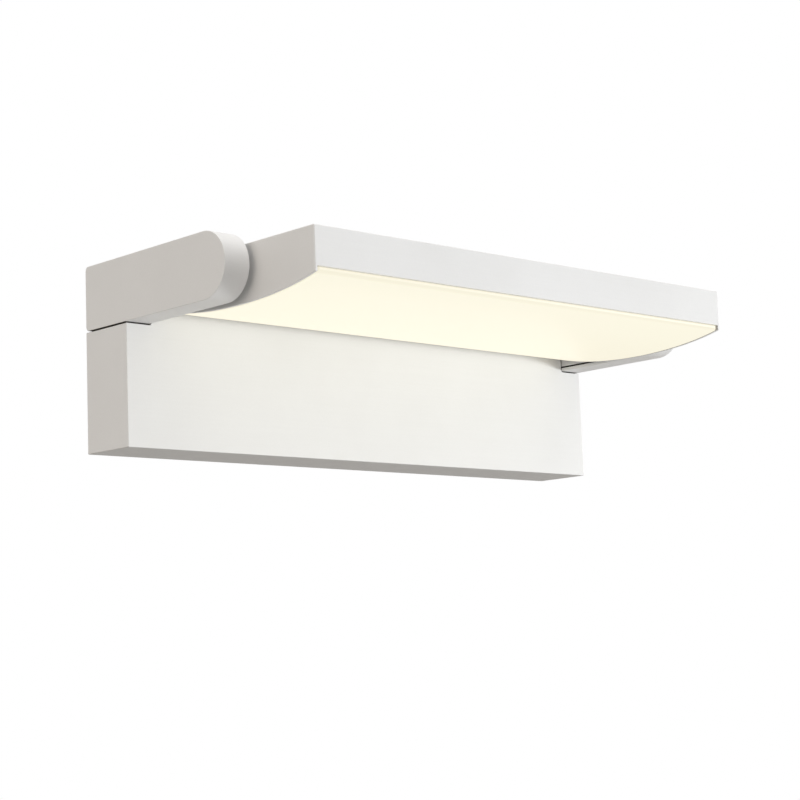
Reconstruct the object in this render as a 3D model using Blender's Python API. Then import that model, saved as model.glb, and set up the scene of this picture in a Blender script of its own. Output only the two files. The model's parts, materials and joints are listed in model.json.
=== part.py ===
"""Outdoor wall light: a wall box, two arms let into its upper corners, and a lit head that tilts.

Lengths are in metres. X runs along the wall, Y runs into the wall and Z runs up.
The origin is the middle of the wall plate's back face, on the wall.
"""
import math

import bmesh
import bpy
from mathutils import Matrix, Vector

# Fits that all pieces share
seat_gap = 0.0003
cable_gap = 0.0004
cut_overrun = 0.002
join_depth = 0.0005
match_reach = 0.000001

# Wall box
base_width = 0.260
base_height = 0.075
base_depth = 0.0277
base_wall = 0.0025
base_corner = 0.0004
base_edge = 0.0003
notch_corner = 0.0013
rim_setback = 0.0012
peg_radius = 0.002
peg_height = 0.0045
peg_place = 0.070

# Arms
arm_height = 0.026
arm_thickness = 0.011
arm_reach = 0.0772
arm_under_gap = 0.0006
arm_side_gap = 0.0005
arm_rear_corner = 0.0018
arm_inner_edge = 0.0008
arm_outer_edge = 0.0003
arm_rim = 0.0016
arm_ledge = 0.0015
arm_skin = 0.0018
pocket_corner = 0.001
cover_thickness = 0.0018
cover_gap = 0.0005
arm_boss_radius = 0.0034
arm_screw_margin = 0.0067
arm_screw_rise = 0.006
arm_screw_bite = 0.0045
cover_screw_rise = 0.006
cover_screw_bite = 0.0032

# Head
head_side_gap = 0.0035
head_rear_gap = 0.0032
head_rise = 0.0088
head_drop = 0.0084
head_bulge = 0.0052
head_wall = 0.0026
head_roof = 0.0028
head_rim = 0.0012
head_corner = 0.0006
head_top_edge = 0.0005
ledge_rise = 0.002
hub_depth = 0.0016

# Diffuser and its seal
diffuser_wall = 0.0022
diffuser_flange = 0.005
diffuser_end_flange = 0.0075
diffuser_lip_width = 0.0013
diffuser_lip_radius = 0.0014
diffuser_corner = 0.001
seal_thickness = 0.0005
seal_width = 0.002

# LED board, pad, connector and reflector
pad_thickness = 0.0004
board_thickness = 0.0016
board_end_gap = 0.0089
board_side_gap = 0.0047
board_corner = 0.002
board_screw_inset = 0.0365
led_size = 0.003
led_height = 0.0007
led_end_margin = 0.0215
led_side_margin = 0.015
led_columns = 12
led_rows = 3
connector_length = 0.007
connector_width = 0.008
connector_height = 0.0042
connector_inset = 0.0115
connector_edge = 0.0004
connector_socket = 0.003
reflector_wall = 0.0009
reflector_inset = 0.0045
reflector_end_gap = 0.0015
reflector_seal_gap = 0.0005
reflector_corner = 0.003
reflector_slot = 0.0045

# Pivots
pivot_radius = 0.004
pivot_bore = 0.0024
pivot_flange_rim = 0.0005
pivot_flange_height = 0.002
pivot_play = 0.00015
bush_wall = 0.0012
bush_flange_width = 0.0016
bush_flange_height = 0.0005
spring_radius = 0.0062
spring_sheet = 0.0003
spring_cone = 0.0003
nut_half_across = 0.0057
thread_stand = 0.0002
pivot_lead_gap = 0.0008
spacer_radius = 0.0063
stop_radius = 0.001
stop_depth = 0.0016
stop_reach = 0.0015
stop_turn = math.radians(90)

# Wall plate, wall seal and cable inlet
plate_side_gap = 0.008
plate_end_gap = 0.006
plate_sheet = 0.0015
plate_corner = 0.006
plate_bend = 0.0022
ear_width = 0.014
ear_depth = 0.0135
ear_place = 0.060
slot_inset = 0.008
slot_length = 0.010
slot_width = 0.005
wall_seal_thickness = 0.0009
wall_seal_inset = 0.0005
inlet_inset = 0.025
inlet_level = -0.006
inlet_radius = 0.0065
inlet_bore = 0.0035
inlet_flange = 0.0022
inlet_flange_height = 0.002
inlet_snout = 0.004

# Driver
driver_end_gap = 0.0165
driver_block_gap = 0.0155
driver_height = 0.030
driver_level = -0.010
driver_room = 0.0055
driver_edge = 0.001
driver_tab = 0.0075
driver_tab_sheet = 0.0016
driver_boss_radius = 0.0035
driver_boss_height = 0.002
driver_port_depth = 0.003
driver_port_rise = 0.006

# Terminal block and earth
block_inset = 0.068
block_level = -0.006
block_length = 0.018
block_depth = 0.013
block_pitch = 0.009
block_poles = 3
block_edge = 0.0006
block_floor = 0.0027
block_port_depth = 0.004
clamp_screw_length = 0.003
earth_inset = 0.0495
earth_level = 0.018
tag_radius = 0.0042
tag_sheet = 0.0008
tag_tail = 0.0095
tag_barrel_radius = 0.0015
tag_barrel_length = 0.0045

# Leads and the grommet between box and arm
lead_radius = 0.0012
core_radius = 0.0009
lead_straight = 0.004
lead_turn = 0.0026
lead_step = 0.004
lane_place = 0.009
grommet_wall = 0.0012
grommet_flange = 0.0012
grommet_flange_height = 0.001

# Screws: shank radius, head radius, head height
arm_screw = (0.002, 0.0035, 0.0024)
cover_screw = (0.0012, 0.0024, 0.0013)
box_screw = (0.002, 0.0038, 0.0019)
driver_screw = (0.0015, 0.0028, 0.0019)
board_screw = (0.0014, 0.0026, 0.0014)
block_screw = (0.0011, 0.0018, 0.0013)
clamp_screw = (0.0015, 0.0019, 0.0012)
earth_screw = (0.0019, 0.0035, 0.0022)
box_screw_place = 0.0095
screw_stand = 0.0015
pilot_skin = 0.0008

# Shares of the sizes that they follow
socket_share = 0.5
socket_depth_share = 0.6
screw_edge_share = 0.2
screw_tip_share = 0.7
bulge_fullness_share = 0.18
bend_share = math.sqrt(0.5)
round_share = 0.5
paint_metal_share = 0.35

# How finely round shapes are divided
round_steps = 24
screw_steps = 12
corner_steps = 3
nose_steps = 18
bulge_steps = 20
slot_steps = 12
smooth_angle = math.radians(32)

# Levels and places worked out from the sizes above
box_top = base_height / 2
box_floor = -base_height / 2
pivot_y = -arm_reach
pivot_z = box_top - arm_height / 2
arm_outer = base_width / 2
arm_inner = arm_outer - arm_thickness
arm_floor = box_top - arm_height
arm_pocket = arm_outer - arm_skin
cover_inner = arm_inner + cover_thickness
arm_ledge_face = cover_inner + seat_gap
notch_wall = arm_inner - arm_side_gap
notch_floor = arm_floor - arm_under_gap
notch_inside = notch_wall - base_wall
front_inside = base_wall - base_depth
ear_top = box_top - base_wall - seat_gap
arm_screw_place = base_depth - base_wall - arm_screw_margin
cover_screw_place = (arm_screw_place + arm_reach) / 2

plate_half = notch_inside - plate_side_gap
plate_half_height = box_top - base_wall - plate_end_gap
slot_place = plate_half - slot_inset
inlet_place = plate_half - inlet_inset
block_place = plate_half - block_inset
earth_place = plate_half - earth_inset

head_half = arm_inner - head_side_gap
head_half_depth = arm_reach - base_depth - head_rear_gap
head_inside = head_half - head_wall
roof_inside = head_rise - head_roof
ledge_level = ledge_rise - head_drop
hub_radius = min(roof_inside, -ledge_level) - seat_gap
hub_inside = head_inside - hub_depth
pad_top = roof_inside - seat_gap
board_top = pad_top - pad_thickness - seat_gap
board_under = board_top - board_thickness
lip_top = ledge_level - seat_gap
diffuser_top = lip_top - seal_thickness - seat_gap
diffuser_half = head_half - head_rim - seat_gap
seal_half_depth = head_half_depth - 2 * seat_gap - diffuser_lip_width

board_half = head_inside - board_end_gap
board_half_depth = head_half_depth - head_wall - board_side_gap
board_screw_place = board_half - board_screw_inset
connector_place = board_half - connector_inset
led_pitch_along = 2 * (board_half - led_end_margin) / (led_columns - 1)
led_pitch_across = 2 * (board_half_depth - led_side_margin) / (led_rows - 1)

pivot_flange = hub_radius - pivot_flange_rim
bush_bore = pivot_radius + pivot_play
bush_radius = bush_bore + bush_wall
bush_top = cover_inner + seat_gap + bush_flange_height
spring_foot = bush_top + seat_gap
nut_foot = spring_foot + spring_sheet + spring_cone + seat_gap
lead_lane = arm_pocket - seat_gap - lead_radius
pivot_end = lead_lane - lead_radius - pivot_lead_gap
nut_top = pivot_end - thread_stand
cover_nose = arm_height / 2 - arm_rim - cover_gap
stop_place = (bush_radius + seat_gap + cover_nose) / 2
lead_meeting = (head_half + arm_inner) / 2

driver_left = driver_end_gap + driver_tab - notch_inside
driver_right = block_place - block_length / 2 - driver_block_gap - driver_tab
driver_foot = front_inside + driver_boss_height + seat_gap
driver_shelf = driver_foot + driver_tab_sheet
driver_rear = -plate_sheet - driver_room
driver_middle = (driver_shelf + driver_rear) / 2
block_foot = -plate_sheet - seat_gap
block_face = block_foot - block_depth
block_middle = block_foot - block_floor - core_radius
tag_barrel = -plate_sheet - seat_gap - tag_barrel_radius

AXES = "XYZ"
HEX = "hexagon"


def clear_scene():
    for thing in list(bpy.data.objects):
        bpy.data.objects.remove(thing, do_unlink=True)


def paint(name, colour, roughness, metallic=0.0):
    """A Principled material."""
    material = bpy.data.materials.new(name)
    material.use_nodes = True
    shader = material.node_tree.nodes["Principled BSDF"]
    shader.inputs["Base Color"].default_value = (*colour, 1.0)
    shader.inputs["Roughness"].default_value = roughness
    shader.inputs["Metallic"].default_value = metallic
    return material


def add_axis(name, place):
    """An empty on a joint's axis, which carries the pieces that turn about it."""
    axis = bpy.data.objects.new(name, None)
    axis.location = place
    bpy.context.collection.objects.link(axis)
    return axis


def add_piece(name, bm, material, parent=None):
    """Turn a bmesh into a named object with outward faces and smooth round sides."""
    bmesh.ops.recalc_face_normals(bm, faces=bm.faces)
    mesh = bpy.data.meshes.new(name)
    bm.to_mesh(mesh)
    bm.free()
    mesh.shade_smooth()
    mesh.set_sharp_from_angle(angle=smooth_angle)
    if material:
        mesh.materials.append(material)
    piece = bpy.data.objects.new(name, mesh)
    piece.parent = parent
    bpy.context.collection.objects.link(piece)
    return piece


def gathered(shapes):
    """One bmesh that holds several shapes which don't touch."""
    whole = bmesh.new()
    for shape in shapes:
        spare = bpy.data.meshes.new("spare")
        shape.to_mesh(spare)
        shape.free()
        whole.from_mesh(spare)
        bpy.data.meshes.remove(spare)
    return whole


def combine(piece, shapes, operation, label):
    """Work shapes into a piece with an exact Boolean."""
    tool = add_piece(f"{piece.name}_{label}", gathered(shapes), None, piece.parent)
    tool.hide_render = True
    tool.display_type = "WIRE"
    boolean = piece.modifiers.new(label, "BOOLEAN")
    boolean.operation = operation
    boolean.solver = "EXACT"
    boolean.object = tool


def cut(piece, shapes, label):
    combine(piece, shapes, "DIFFERENCE", label)


def join(piece, shapes, label):
    combine(piece, shapes, "UNION", label)


def loft(rings, hollow=False):
    """Skin through rings of points: capped at both ends, or joined end to end when hollow."""
    bm = bmesh.new()
    loops = [[bm.verts.new(point) for point in ring] for ring in rings]
    pairs = list(zip(loops, loops[1:]))
    if hollow:
        pairs.append((loops[-1], loops[0]))
    else:
        bm.faces.new(loops[0])
        bm.faces.new(loops[-1])
    for low, high in pairs:
        for k in range(len(low)):
            after = (k + 1) % len(low)
            bm.faces.new((low[k], low[after], high[after], high[k]))
    return bm


def lifted(outline, axis, height):
    """Points of a flat outline, set across an axis at a height along it."""
    first, second = [k for k in range(3) if AXES[k] != axis]
    points = []
    for across, up in outline:
        point = Vector((height, height, height))
        point[first] = across
        point[second] = up
        points.append(point)
    return points


def prism(outline, axis, low, high):
    """Extrude a flat outline along an axis."""
    bm = bmesh.new()
    face = bm.faces.new([bm.verts.new(point) for point in lifted(outline, axis, low)])
    grown = bmesh.ops.extrude_face_region(bm, geom=[face])["geom"]
    step = Vector((0, 0, 0))
    step[AXES.index(axis)] = high - low
    far = [part for part in grown if isinstance(part, bmesh.types.BMVert)]
    bmesh.ops.translate(bm, vec=step, verts=far)
    return bm


def runs(edge, axis):
    """True where an edge runs along an axis."""
    first, second = (vert.co for vert in edge.verts)
    return all(near(first[place], second[place]) for place, name in enumerate("XYZ") if name != axis)


def round_edges(bm, width, steps, test, axis=None):
    """Bevel each edge whose two ends both pass a test, along one axis if it is given."""
    edges = [edge for edge in bm.edges if all(test(vert.co) for vert in edge.verts)]
    if axis:
        edges = [edge for edge in edges if runs(edge, axis)]
    bmesh.ops.bevel(bm, geom=edges, offset=width, segments=steps, profile=round_share, affect="EDGES")


def near(value, target):
    return abs(value - target) < match_reach


def turned(profile, place, axis, steps=round_steps, hollow=False):
    """Turn a profile of (radius, height) about an axis; a third entry makes that ring a hexagon."""
    stand = Matrix.Translation(place) @ Vector(axis).to_track_quat("Z", "Y").to_matrix().to_4x4()
    rings = []
    for radius, height, *shape in profile:
        ring = []
        for k in range(steps):
            angle = math.tau * k / steps
            reach = radius
            if HEX in shape:
                reach = radius / math.cos(angle % (math.pi / 3) - math.pi / 6)
            ring.append(stand @ Vector((reach * math.cos(angle), reach * math.sin(angle), height)))
        rings.append(ring)
    return loft(rings, hollow)


def rod(radius, place, axis, length, steps=screw_steps):
    """A plain cylinder that starts at a place and runs along an axis."""
    return turned([(radius, 0), (radius, length)], place, axis, steps)


def bored(radius, place, axis, depth):
    """A cutter for a round hole: it starts clear of the face at a place and goes in to a depth."""
    inward = Vector(axis)
    return rod(radius, Vector(place) - inward * cut_overrun, inward, depth + cut_overrun)


def drilled(radius, place, axis, thickness):
    """A cutter for a round hole that goes right through."""
    return bored(radius, place, axis, thickness + cut_overrun)


def rounded(corners, steps=corner_steps):
    """A closed outline from (across, up, radius) corners, each rounded by an arc."""
    points = []
    for k, (across, up, radius) in enumerate(corners):
        corner = Vector((across, up))
        if radius <= 0:
            points.append(corner)
            continue
        back = (Vector(corners[k - 1][:2]) - corner).normalized()
        ahead = (Vector(corners[(k + 1) % len(corners)][:2]) - corner).normalized()
        half = back.angle(ahead) / 2
        centre = corner + (back + ahead).normalized() * (radius / math.sin(half))
        start = corner + back * (radius / math.tan(half)) - centre
        end = corner + ahead * (radius / math.tan(half)) - centre
        sweep = math.atan2(start.x * end.y - start.y * end.x, start.dot(end))
        for j in range(steps + 1):
            points.append(centre + Matrix.Rotation(sweep * j / steps, 2) @ start)
    return points


def rectangle(width, height, radius=0, centre=(0, 0)):
    across, up = centre
    half, tall = width / 2, height / 2
    return rounded([(across - half, up - tall, radius), (across + half, up - tall, radius),
                    (across + half, up + tall, radius), (across - half, up + tall, radius)])


def base_outline(inset):
    """The wall box from the front, with a notch at each upper corner."""
    side = arm_outer - inset
    bottom = box_floor + inset
    top = box_top - inset
    shoulder = notch_wall - inset
    step = notch_floor - inset
    outer = max(base_corner - inset, 0)
    inner = notch_corner + inset
    right = [(side, bottom, outer), (side, step, outer), (shoulder, step, inner), (shoulder, top, outer)]
    left = [(-across, up, radius) for across, up, radius in reversed(right)]
    return rounded(right + left)


def arm_outline(inset):
    """An arm from the side: square at the wall, a half circle round the pivot."""
    rear = -seat_gap - inset
    bottom = arm_floor + inset
    top = box_top - inset
    corner = max(arm_rear_corner - inset, pocket_corner)
    nose = arm_height / 2 - inset
    outline = rounded([(pivot_y, top, 0), (rear, top, corner), (rear, bottom, corner), (pivot_y, bottom, 0)])
    for k in range(1, nose_steps):
        angle = math.pi * k / nose_steps
        outline.append(Vector((pivot_y - nose * math.sin(angle), pivot_z - nose * math.cos(angle))))
    return outline


def bulge(across):
    """How far the head's underside hangs below its long edges, at a distance from the pivot."""
    share = across / head_half_depth
    shoulder = bulge_fullness_share * head_bulge
    crown = head_bulge - shoulder
    return crown * (1 - share ** 2) + shoulder * (1 - share ** 4)


def bowed(half, lift=0):
    """Points of the bowed underside from front to rear, as far as half on each side."""
    spots = [half * (2 * k / bulge_steps - 1) for k in range(bulge_steps + 1)]
    return [(spot, lift - head_drop - bulge(spot)) for spot in spots]


def pan_screw(size, length):
    """Profile of a screw with a hexagon socket; height zero is under its head."""
    shank, head, height = size
    edge = screw_edge_share * height
    socket = socket_share * head
    return [(shank * screw_tip_share, -length), (shank, edge - length), (shank, 0), (head, 0),
            (head, height - edge), (head - edge, height), (socket, height, HEX),
            (socket, height * (1 - socket_depth_share), HEX)]


def flush_screw(size, length):
    """Profile of a countersunk screw with a hexagon socket; height zero is the face of its head."""
    shank, head, height = size
    edge = screw_edge_share * height
    socket = socket_share * head
    return [(shank * screw_tip_share, -length), (shank, edge - length), (shank, -height), (head, -edge),
            (head, 0), (socket, 0, HEX), (socket, -height * socket_depth_share, HEX)]


def flush_hole(size, place, axis, depth):
    """The countersunk hole that leaves a gap all round such a screw."""
    shank, head, height = size
    edge = screw_edge_share * height + seat_gap
    wide = head + seat_gap
    slim = shank + seat_gap
    profile = [(slim, -depth), (slim, -height - seat_gap), (wide, -edge), (wide, cut_overrun)]
    return turned(profile, place, axis, screw_steps)


def add_screw(name, profile, place, axis, material, parent=None):
    add_piece(name, turned(profile, place, axis, screw_steps), material, parent)


def mixed(low, high, start, end, at):
    return low + (high - low) * ((at - start) / (end - start))


def curve_point(spots, knots, at):
    """A point of the centripetal curve through four spots, between the middle two."""
    first = [mixed(spots[k], spots[k + 1], knots[k], knots[k + 1], at) for k in range(3)]
    second = [mixed(first[k], first[k + 1], knots[k], knots[k + 2], at) for k in range(2)]
    return mixed(*second, knots[1], knots[2], at)


def smooth_route(points):
    """Points a short step apart on a smooth curve through the given ones."""
    spots = [Vector(point) for point in points]
    spots = [2 * spots[0] - spots[1], *spots, 2 * spots[-1] - spots[-2]]
    route = []
    for k in range(1, len(spots) - 2):
        near_by = spots[k - 1:k + 3]
        knots = [0]
        for start, end in zip(near_by, near_by[1:]):
            knots.append(knots[-1] + math.sqrt((end - start).length))
        count = max(2, round((spots[k + 1] - spots[k]).length / lead_step))
        span = knots[2] - knots[1]
        route += [curve_point(near_by, knots, knots[1] + span * j / count) for j in range(count)]
    return route + [spots[-2]]


def add_lead(name, points, radius, material, parent=None):
    """A round lead along a route."""
    route = smooth_route(points)
    curve = bpy.data.curves.new(name, "CURVE")
    curve.dimensions = "3D"
    curve.bevel_depth = radius
    curve.bevel_resolution = 2
    curve.use_fill_caps = True
    spline = curve.splines.new("POLY")
    spline.points.add(len(route) - 1)
    for spot, place in zip(spline.points, route):
        spot.co = (*place, 1)
    curve.materials.append(material)
    lead = bpy.data.objects.new(name, curve)
    lead.parent = parent
    bpy.context.collection.objects.link(lead)


def arm_screw_spots(side):
    """Where the two screws of an arm seat on the inside of the notch wall."""
    return [(side * notch_inside, -arm_screw_place, pivot_z + turn * arm_screw_rise) for turn in (-1, 1)]


def driver_screw_spots():
    """Where the driver's two screws seat on its tabs."""
    return [(driver_left - driver_tab / 2, driver_shelf, driver_level),
            (driver_right + driver_tab / 2, driver_shelf, driver_level)]


def add_base_housing(material):
    """Cast box, open to the wall, with bosses for the driver and pegs for the wall plate."""
    bm = prism(base_outline(0), "Y", -rim_setback, -base_depth)
    round_edges(bm, base_edge, 2, lambda spot: near(spot.y, -base_depth))
    housing = add_piece("base_housing", bm, material)
    cut(housing, [prism(base_outline(base_wall), "Y", cut_overrun, front_inside)], "cavity")
    shapes = []
    holes = []
    for x, _, z in driver_screw_spots():
        foot = (x, front_inside - join_depth, z)
        shapes.append(rod(driver_boss_radius, foot, (0, 1, 0), driver_boss_height + join_depth))
        face = (x, front_inside + driver_boss_height, z)
        depth = driver_boss_height + base_wall - pilot_skin
        holes.append(bored(driver_screw[0] + seat_gap, face, (0, -1, 0), depth))
    for side in (-1, 1):
        foot = (side * peg_place, -ear_depth / 2, box_floor + base_wall - join_depth)
        shapes.append(rod(peg_radius, foot, (0, 0, 1), peg_height + join_depth))
        for spot in arm_screw_spots(side):
            holes.append(drilled(arm_screw[0] + seat_gap, spot, (side, 0, 0), base_wall))
        spot = (side * ear_place, -box_screw_place, box_top)
        holes.append(flush_hole(box_screw, spot, (0, 0, 1), base_wall + cut_overrun))
    hole = lead_radius + cable_gap + grommet_wall + seat_gap
    holes.append(drilled(hole, (-notch_inside, -lane_place, pivot_z), (-1, 0, 0), base_wall))
    join(housing, shapes, "bosses")
    cut(housing, holes, "holes")


def ear_profile(turn):
    """Side view of a folded ear, up for 1 and down for -1."""
    low = turn * (plate_half_height - join_depth)
    high = turn * ear_top
    under = turn * (ear_top - plate_sheet)
    return rounded([(0, low, 0), (0, high, plate_bend), (-ear_depth, high, 0), (-ear_depth, under, 0),
                    (-plate_sheet, under, plate_bend - plate_sheet), (-plate_sheet, low, 0)])


def add_wall_plate(material):
    """Folded sheet screwed to the wall: two ears take the box's screws, two tabs take its pegs."""
    outline = rectangle(2 * plate_half, 2 * plate_half_height, plate_corner)
    plate = add_piece("wall_plate", prism(outline, "Y", 0, -plate_sheet), material)
    folds = []
    holes = []
    for side in (-1, 1):
        for turn, place in ((1, side * ear_place), (-1, side * peg_place)):
            folds.append(prism(ear_profile(turn), "X", place - ear_width / 2, place + ear_width / 2))
        slot = rectangle(slot_length, slot_width, slot_width / 2 - join_depth, (side * slot_place, 0))
        holes.append(prism(slot, "Y", cut_overrun, -plate_sheet - cut_overrun))
        spot = (side * ear_place, -box_screw_place, ear_top)
        holes.append(drilled(box_screw[0] + seat_gap, spot, (0, 0, -1), plate_sheet))
        spot = (side * peg_place, -ear_depth / 2, -ear_top)
        holes.append(drilled(peg_radius + seat_gap, spot, (0, 0, 1), plate_sheet))
    holes.append(drilled(inlet_radius + seat_gap, (inlet_place, 0, inlet_level), (0, -1, 0), plate_sheet))
    holes.append(drilled(earth_screw[0] + seat_gap, (earth_place, 0, earth_level), (0, -1, 0), plate_sheet))
    spot = (block_place, 0, block_level + block_pitch / 2)
    holes.append(drilled(block_screw[0] + seat_gap, spot, (0, -1, 0), plate_sheet))
    join(plate, folds, "folds")
    cut(plate, holes, "holes")


def add_wall_seal(material):
    """Foam ring between the box's rim and the wall."""
    ring = prism(base_outline(wall_seal_inset), "Y", 0, -wall_seal_thickness)
    seal = add_piece("wall_seal", ring, material)
    opening = prism(base_outline(base_wall), "Y", cut_overrun, -wall_seal_thickness - cut_overrun)
    cut(seal, [opening], "opening")


def add_cable_grommet(material):
    """Rubber inlet for the mains cable, pushed into the wall plate from the front."""
    face = plate_sheet + seat_gap
    flange = inlet_radius + inlet_flange
    shoulder = face + inlet_flange_height
    snout = inlet_bore + inlet_flange / 2
    profile = [(inlet_bore, seat_gap), (inlet_radius, seat_gap), (inlet_radius, face), (flange, face),
               (flange, shoulder), (inlet_radius, shoulder), (snout, shoulder + inlet_snout),
               (inlet_bore, shoulder + inlet_snout)]
    bm = turned(profile, (inlet_place, 0, inlet_level), (0, -1, 0), hollow=True)
    add_piece("cable_grommet", bm, material)


def driver_ports():
    """Where the two mains cores enter the driver's right end."""
    return [(driver_right, driver_middle, driver_level + turn * driver_port_rise) for turn in (-1, 1)]


def lead_port():
    """Where the lead to the head leaves the driver's left end."""
    return driver_left, driver_middle, driver_level + driver_port_rise


def add_driver(case, metal):
    """Potted driver on two bosses of the box, with a screw through each end tab."""
    left, right = driver_left - driver_tab, driver_right + driver_tab
    outline = [(left, driver_foot), (right, driver_foot), (right, driver_shelf),
               (driver_right, driver_shelf), (driver_right, driver_rear),
               (driver_left, driver_rear), (driver_left, driver_shelf), (left, driver_shelf)]
    bm = prism(outline, "Z", driver_level - driver_height / 2, driver_level + driver_height / 2)
    round_edges(bm, driver_edge, 2, lambda spot: near(spot.y, driver_rear))
    driver = add_piece("led_driver", bm, case)
    holes = [bored(lead_radius + seat_gap, lead_port(), (1, 0, 0), driver_port_depth)]
    holes += [bored(core_radius + seat_gap, port, (-1, 0, 0), driver_port_depth) for port in driver_ports()]
    for number, spot in enumerate(driver_screw_spots(), 1):
        holes.append(drilled(driver_screw[0] + seat_gap, spot, (0, -1, 0), driver_tab_sheet))
        seat = Vector(spot) + Vector((0, seat_gap, 0))
        length = driver_tab_sheet + driver_boss_height + base_wall - pilot_skin
        add_screw(f"driver_screw_{number}", pan_screw(driver_screw, length), seat, (0, 1, 0), metal)
    cut(driver, holes, "holes")


def pole_levels():
    """Heights of the terminal block's poles."""
    return [block_level + block_pitch * (k - (block_poles - 1) / 2) for k in range(block_poles)]


def add_terminal_block(case, brass, metal):
    """A row of clamp terminals, screwed to the wall plate through a well between two poles."""
    tall = block_pitch * block_poles
    bm = prism(rectangle(block_length, tall, 0, (block_place, block_level)), "Y", block_foot, block_face)
    round_edges(bm, block_edge, 1, lambda spot: near(spot.y, block_face))
    body = add_piece("terminal_block", bm, case)
    well_depth = clamp_screw_length + clamp_screw[2]
    holes = []
    for number, level in enumerate(pole_levels(), 1):
        mouth = (block_place, block_face, level)
        holes.append(bored(clamp_screw[1] + seat_gap, mouth, (0, 1, 0), well_depth + seat_gap))
        seat = Vector(mouth) + Vector((0, clamp_screw[2], 0))
        profile = pan_screw(clamp_screw, clamp_screw_length)
        add_screw(f"clamp_screw_{number}", profile, seat, (0, -1, 0), brass)
        for side in (-1, 1):
            spot = (block_place + side * block_length / 2, block_middle, level)
            holes.append(bored(core_radius + seat_gap, spot, (-side, 0, 0), block_port_depth))
    middle = block_level + block_pitch / 2
    floor = block_foot - block_floor
    foot = (block_place, block_foot, middle)
    holes.append(drilled(block_screw[0] + seat_gap, foot, (0, -1, 0), block_floor))
    mouth = (block_place, block_face, middle)
    well = bored(block_screw[1] + seat_gap, mouth, (0, 1, 0), floor - block_face)
    cut(body, holes, "ports")
    cut(body, [well], "well")
    length = -floor
    seat = (block_place, floor - seat_gap, middle)
    add_screw("block_screw", pan_screw(block_screw, length), seat, (0, -1, 0), metal)


def add_earth(metal):
    """Earth screw and the ring tag that it clamps to the wall plate."""
    foot = -plate_sheet - seat_gap
    face = foot - tag_sheet
    spot = (earth_place, foot, earth_level)
    tag = add_piece("earth_tag", rod(tag_radius, spot, (0, -1, 0), tag_sheet, round_steps), metal)
    middle = (earth_place, earth_level - tag_tail / 2)
    tail = rectangle(2 * tag_barrel_radius - join_depth, tag_tail, 0, middle)
    join(tag, [prism(tail, "Y", foot - join_depth / 2, face - join_depth / 2)], "tail")
    top = earth_level - tag_tail + tag_barrel_length / 2
    barrel = rod(tag_barrel_radius, (earth_place, tag_barrel, top), (0, 0, -1), tag_barrel_length)
    join(tag, [barrel], "barrel")
    foot_of_barrel = (earth_place, tag_barrel, top - tag_barrel_length)
    cut(tag, [drilled(earth_screw[0] + seat_gap, spot, (0, -1, 0), tag_sheet),
              bored(core_radius + seat_gap, foot_of_barrel, (0, 0, 1), tag_barrel_length / 2)], "holes")
    seat = (earth_place, face - seat_gap, earth_level)
    add_screw("earth_screw", pan_screw(earth_screw, -face), seat, (0, -1, 0), metal)
    return foot_of_barrel


def add_mains_leads(live, neutral, earth, tag_mouth):
    """Cores from the terminal block to the driver and to the earth tag."""
    left = block_place - block_length / 2
    right = block_place + block_length / 2
    deep = block_port_depth - seat_gap
    names = (("live_lead", live), ("neutral_lead", neutral))
    for (name, colour), level, port in zip(names, pole_levels(), driver_ports()):
        end = Vector((left, block_middle, level))
        start = Vector(port)
        out = Vector((lead_straight, 0, 0))
        inside = Vector((driver_port_depth - seat_gap, 0, 0))
        route = [start - inside, start + out / 2, start + out, end - out, end - out / 2]
        route.append(end + Vector((deep, 0, 0)))
        add_lead(name, route, core_radius, colour)
    end = Vector((right, block_middle, pole_levels()[-1]))
    start = Vector(tag_mouth)
    drop = Vector((0, 0, lead_straight / 2))
    inside = Vector((0, 0, tag_barrel_length / 2 - seat_gap))
    out = Vector((lead_straight, 0, 0))
    route = [start + inside, start - drop, end + out, end, end - Vector((deep, 0, 0))]
    add_lead("earth_lead", route, core_radius, earth)


def add_arm(side, name, material):
    """Cast arm: a shell open to the head, with screw bosses and a ledge for its cover."""
    place = side * arm_pocket
    levels = [(arm_outer_edge, arm_outer), (0, arm_outer - arm_outer_edge)]
    for k in range(corner_steps + 1):
        angle = math.pi / 2 * k / corner_steps
        inset = arm_inner_edge * (1 - math.cos(angle))
        levels.append((inset, arm_inner + arm_inner_edge * (1 - math.sin(angle))))
    rings = [lifted(arm_outline(inset), "X", side * reach) for inset, reach in levels]
    arm = add_piece(name, loft(rings), material)
    mouth = side * (arm_inner - cut_overrun)
    cut(arm, [prism(arm_outline(arm_rim), "X", mouth, side * arm_ledge_face)], "rebate")
    cut(arm, [prism(arm_outline(arm_rim + arm_ledge), "X", mouth, place)], "pocket")
    length = arm_pocket - arm_ledge_face + join_depth
    spots = [(-arm_screw_place, pivot_z - arm_screw_rise), (-arm_screw_place, pivot_z + arm_screw_rise),
             (-cover_screw_place, pivot_z + cover_screw_rise)]
    foot = side * (arm_pocket + join_depth)
    join(arm, [rod(arm_boss_radius, (foot, y, z), (-side, 0, 0), length) for y, z in spots], "bosses")
    fixing = (arm_screw[0], arm_screw_bite)
    sizes = [fixing, fixing, (cover_screw[0], cover_screw_bite)]
    face = side * arm_ledge_face
    cut(arm, [bored(shank + seat_gap, (face, y, z), (side, 0, 0), bite + seat_gap)
              for (y, z), (shank, bite) in zip(spots, sizes)], "holes")


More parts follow.
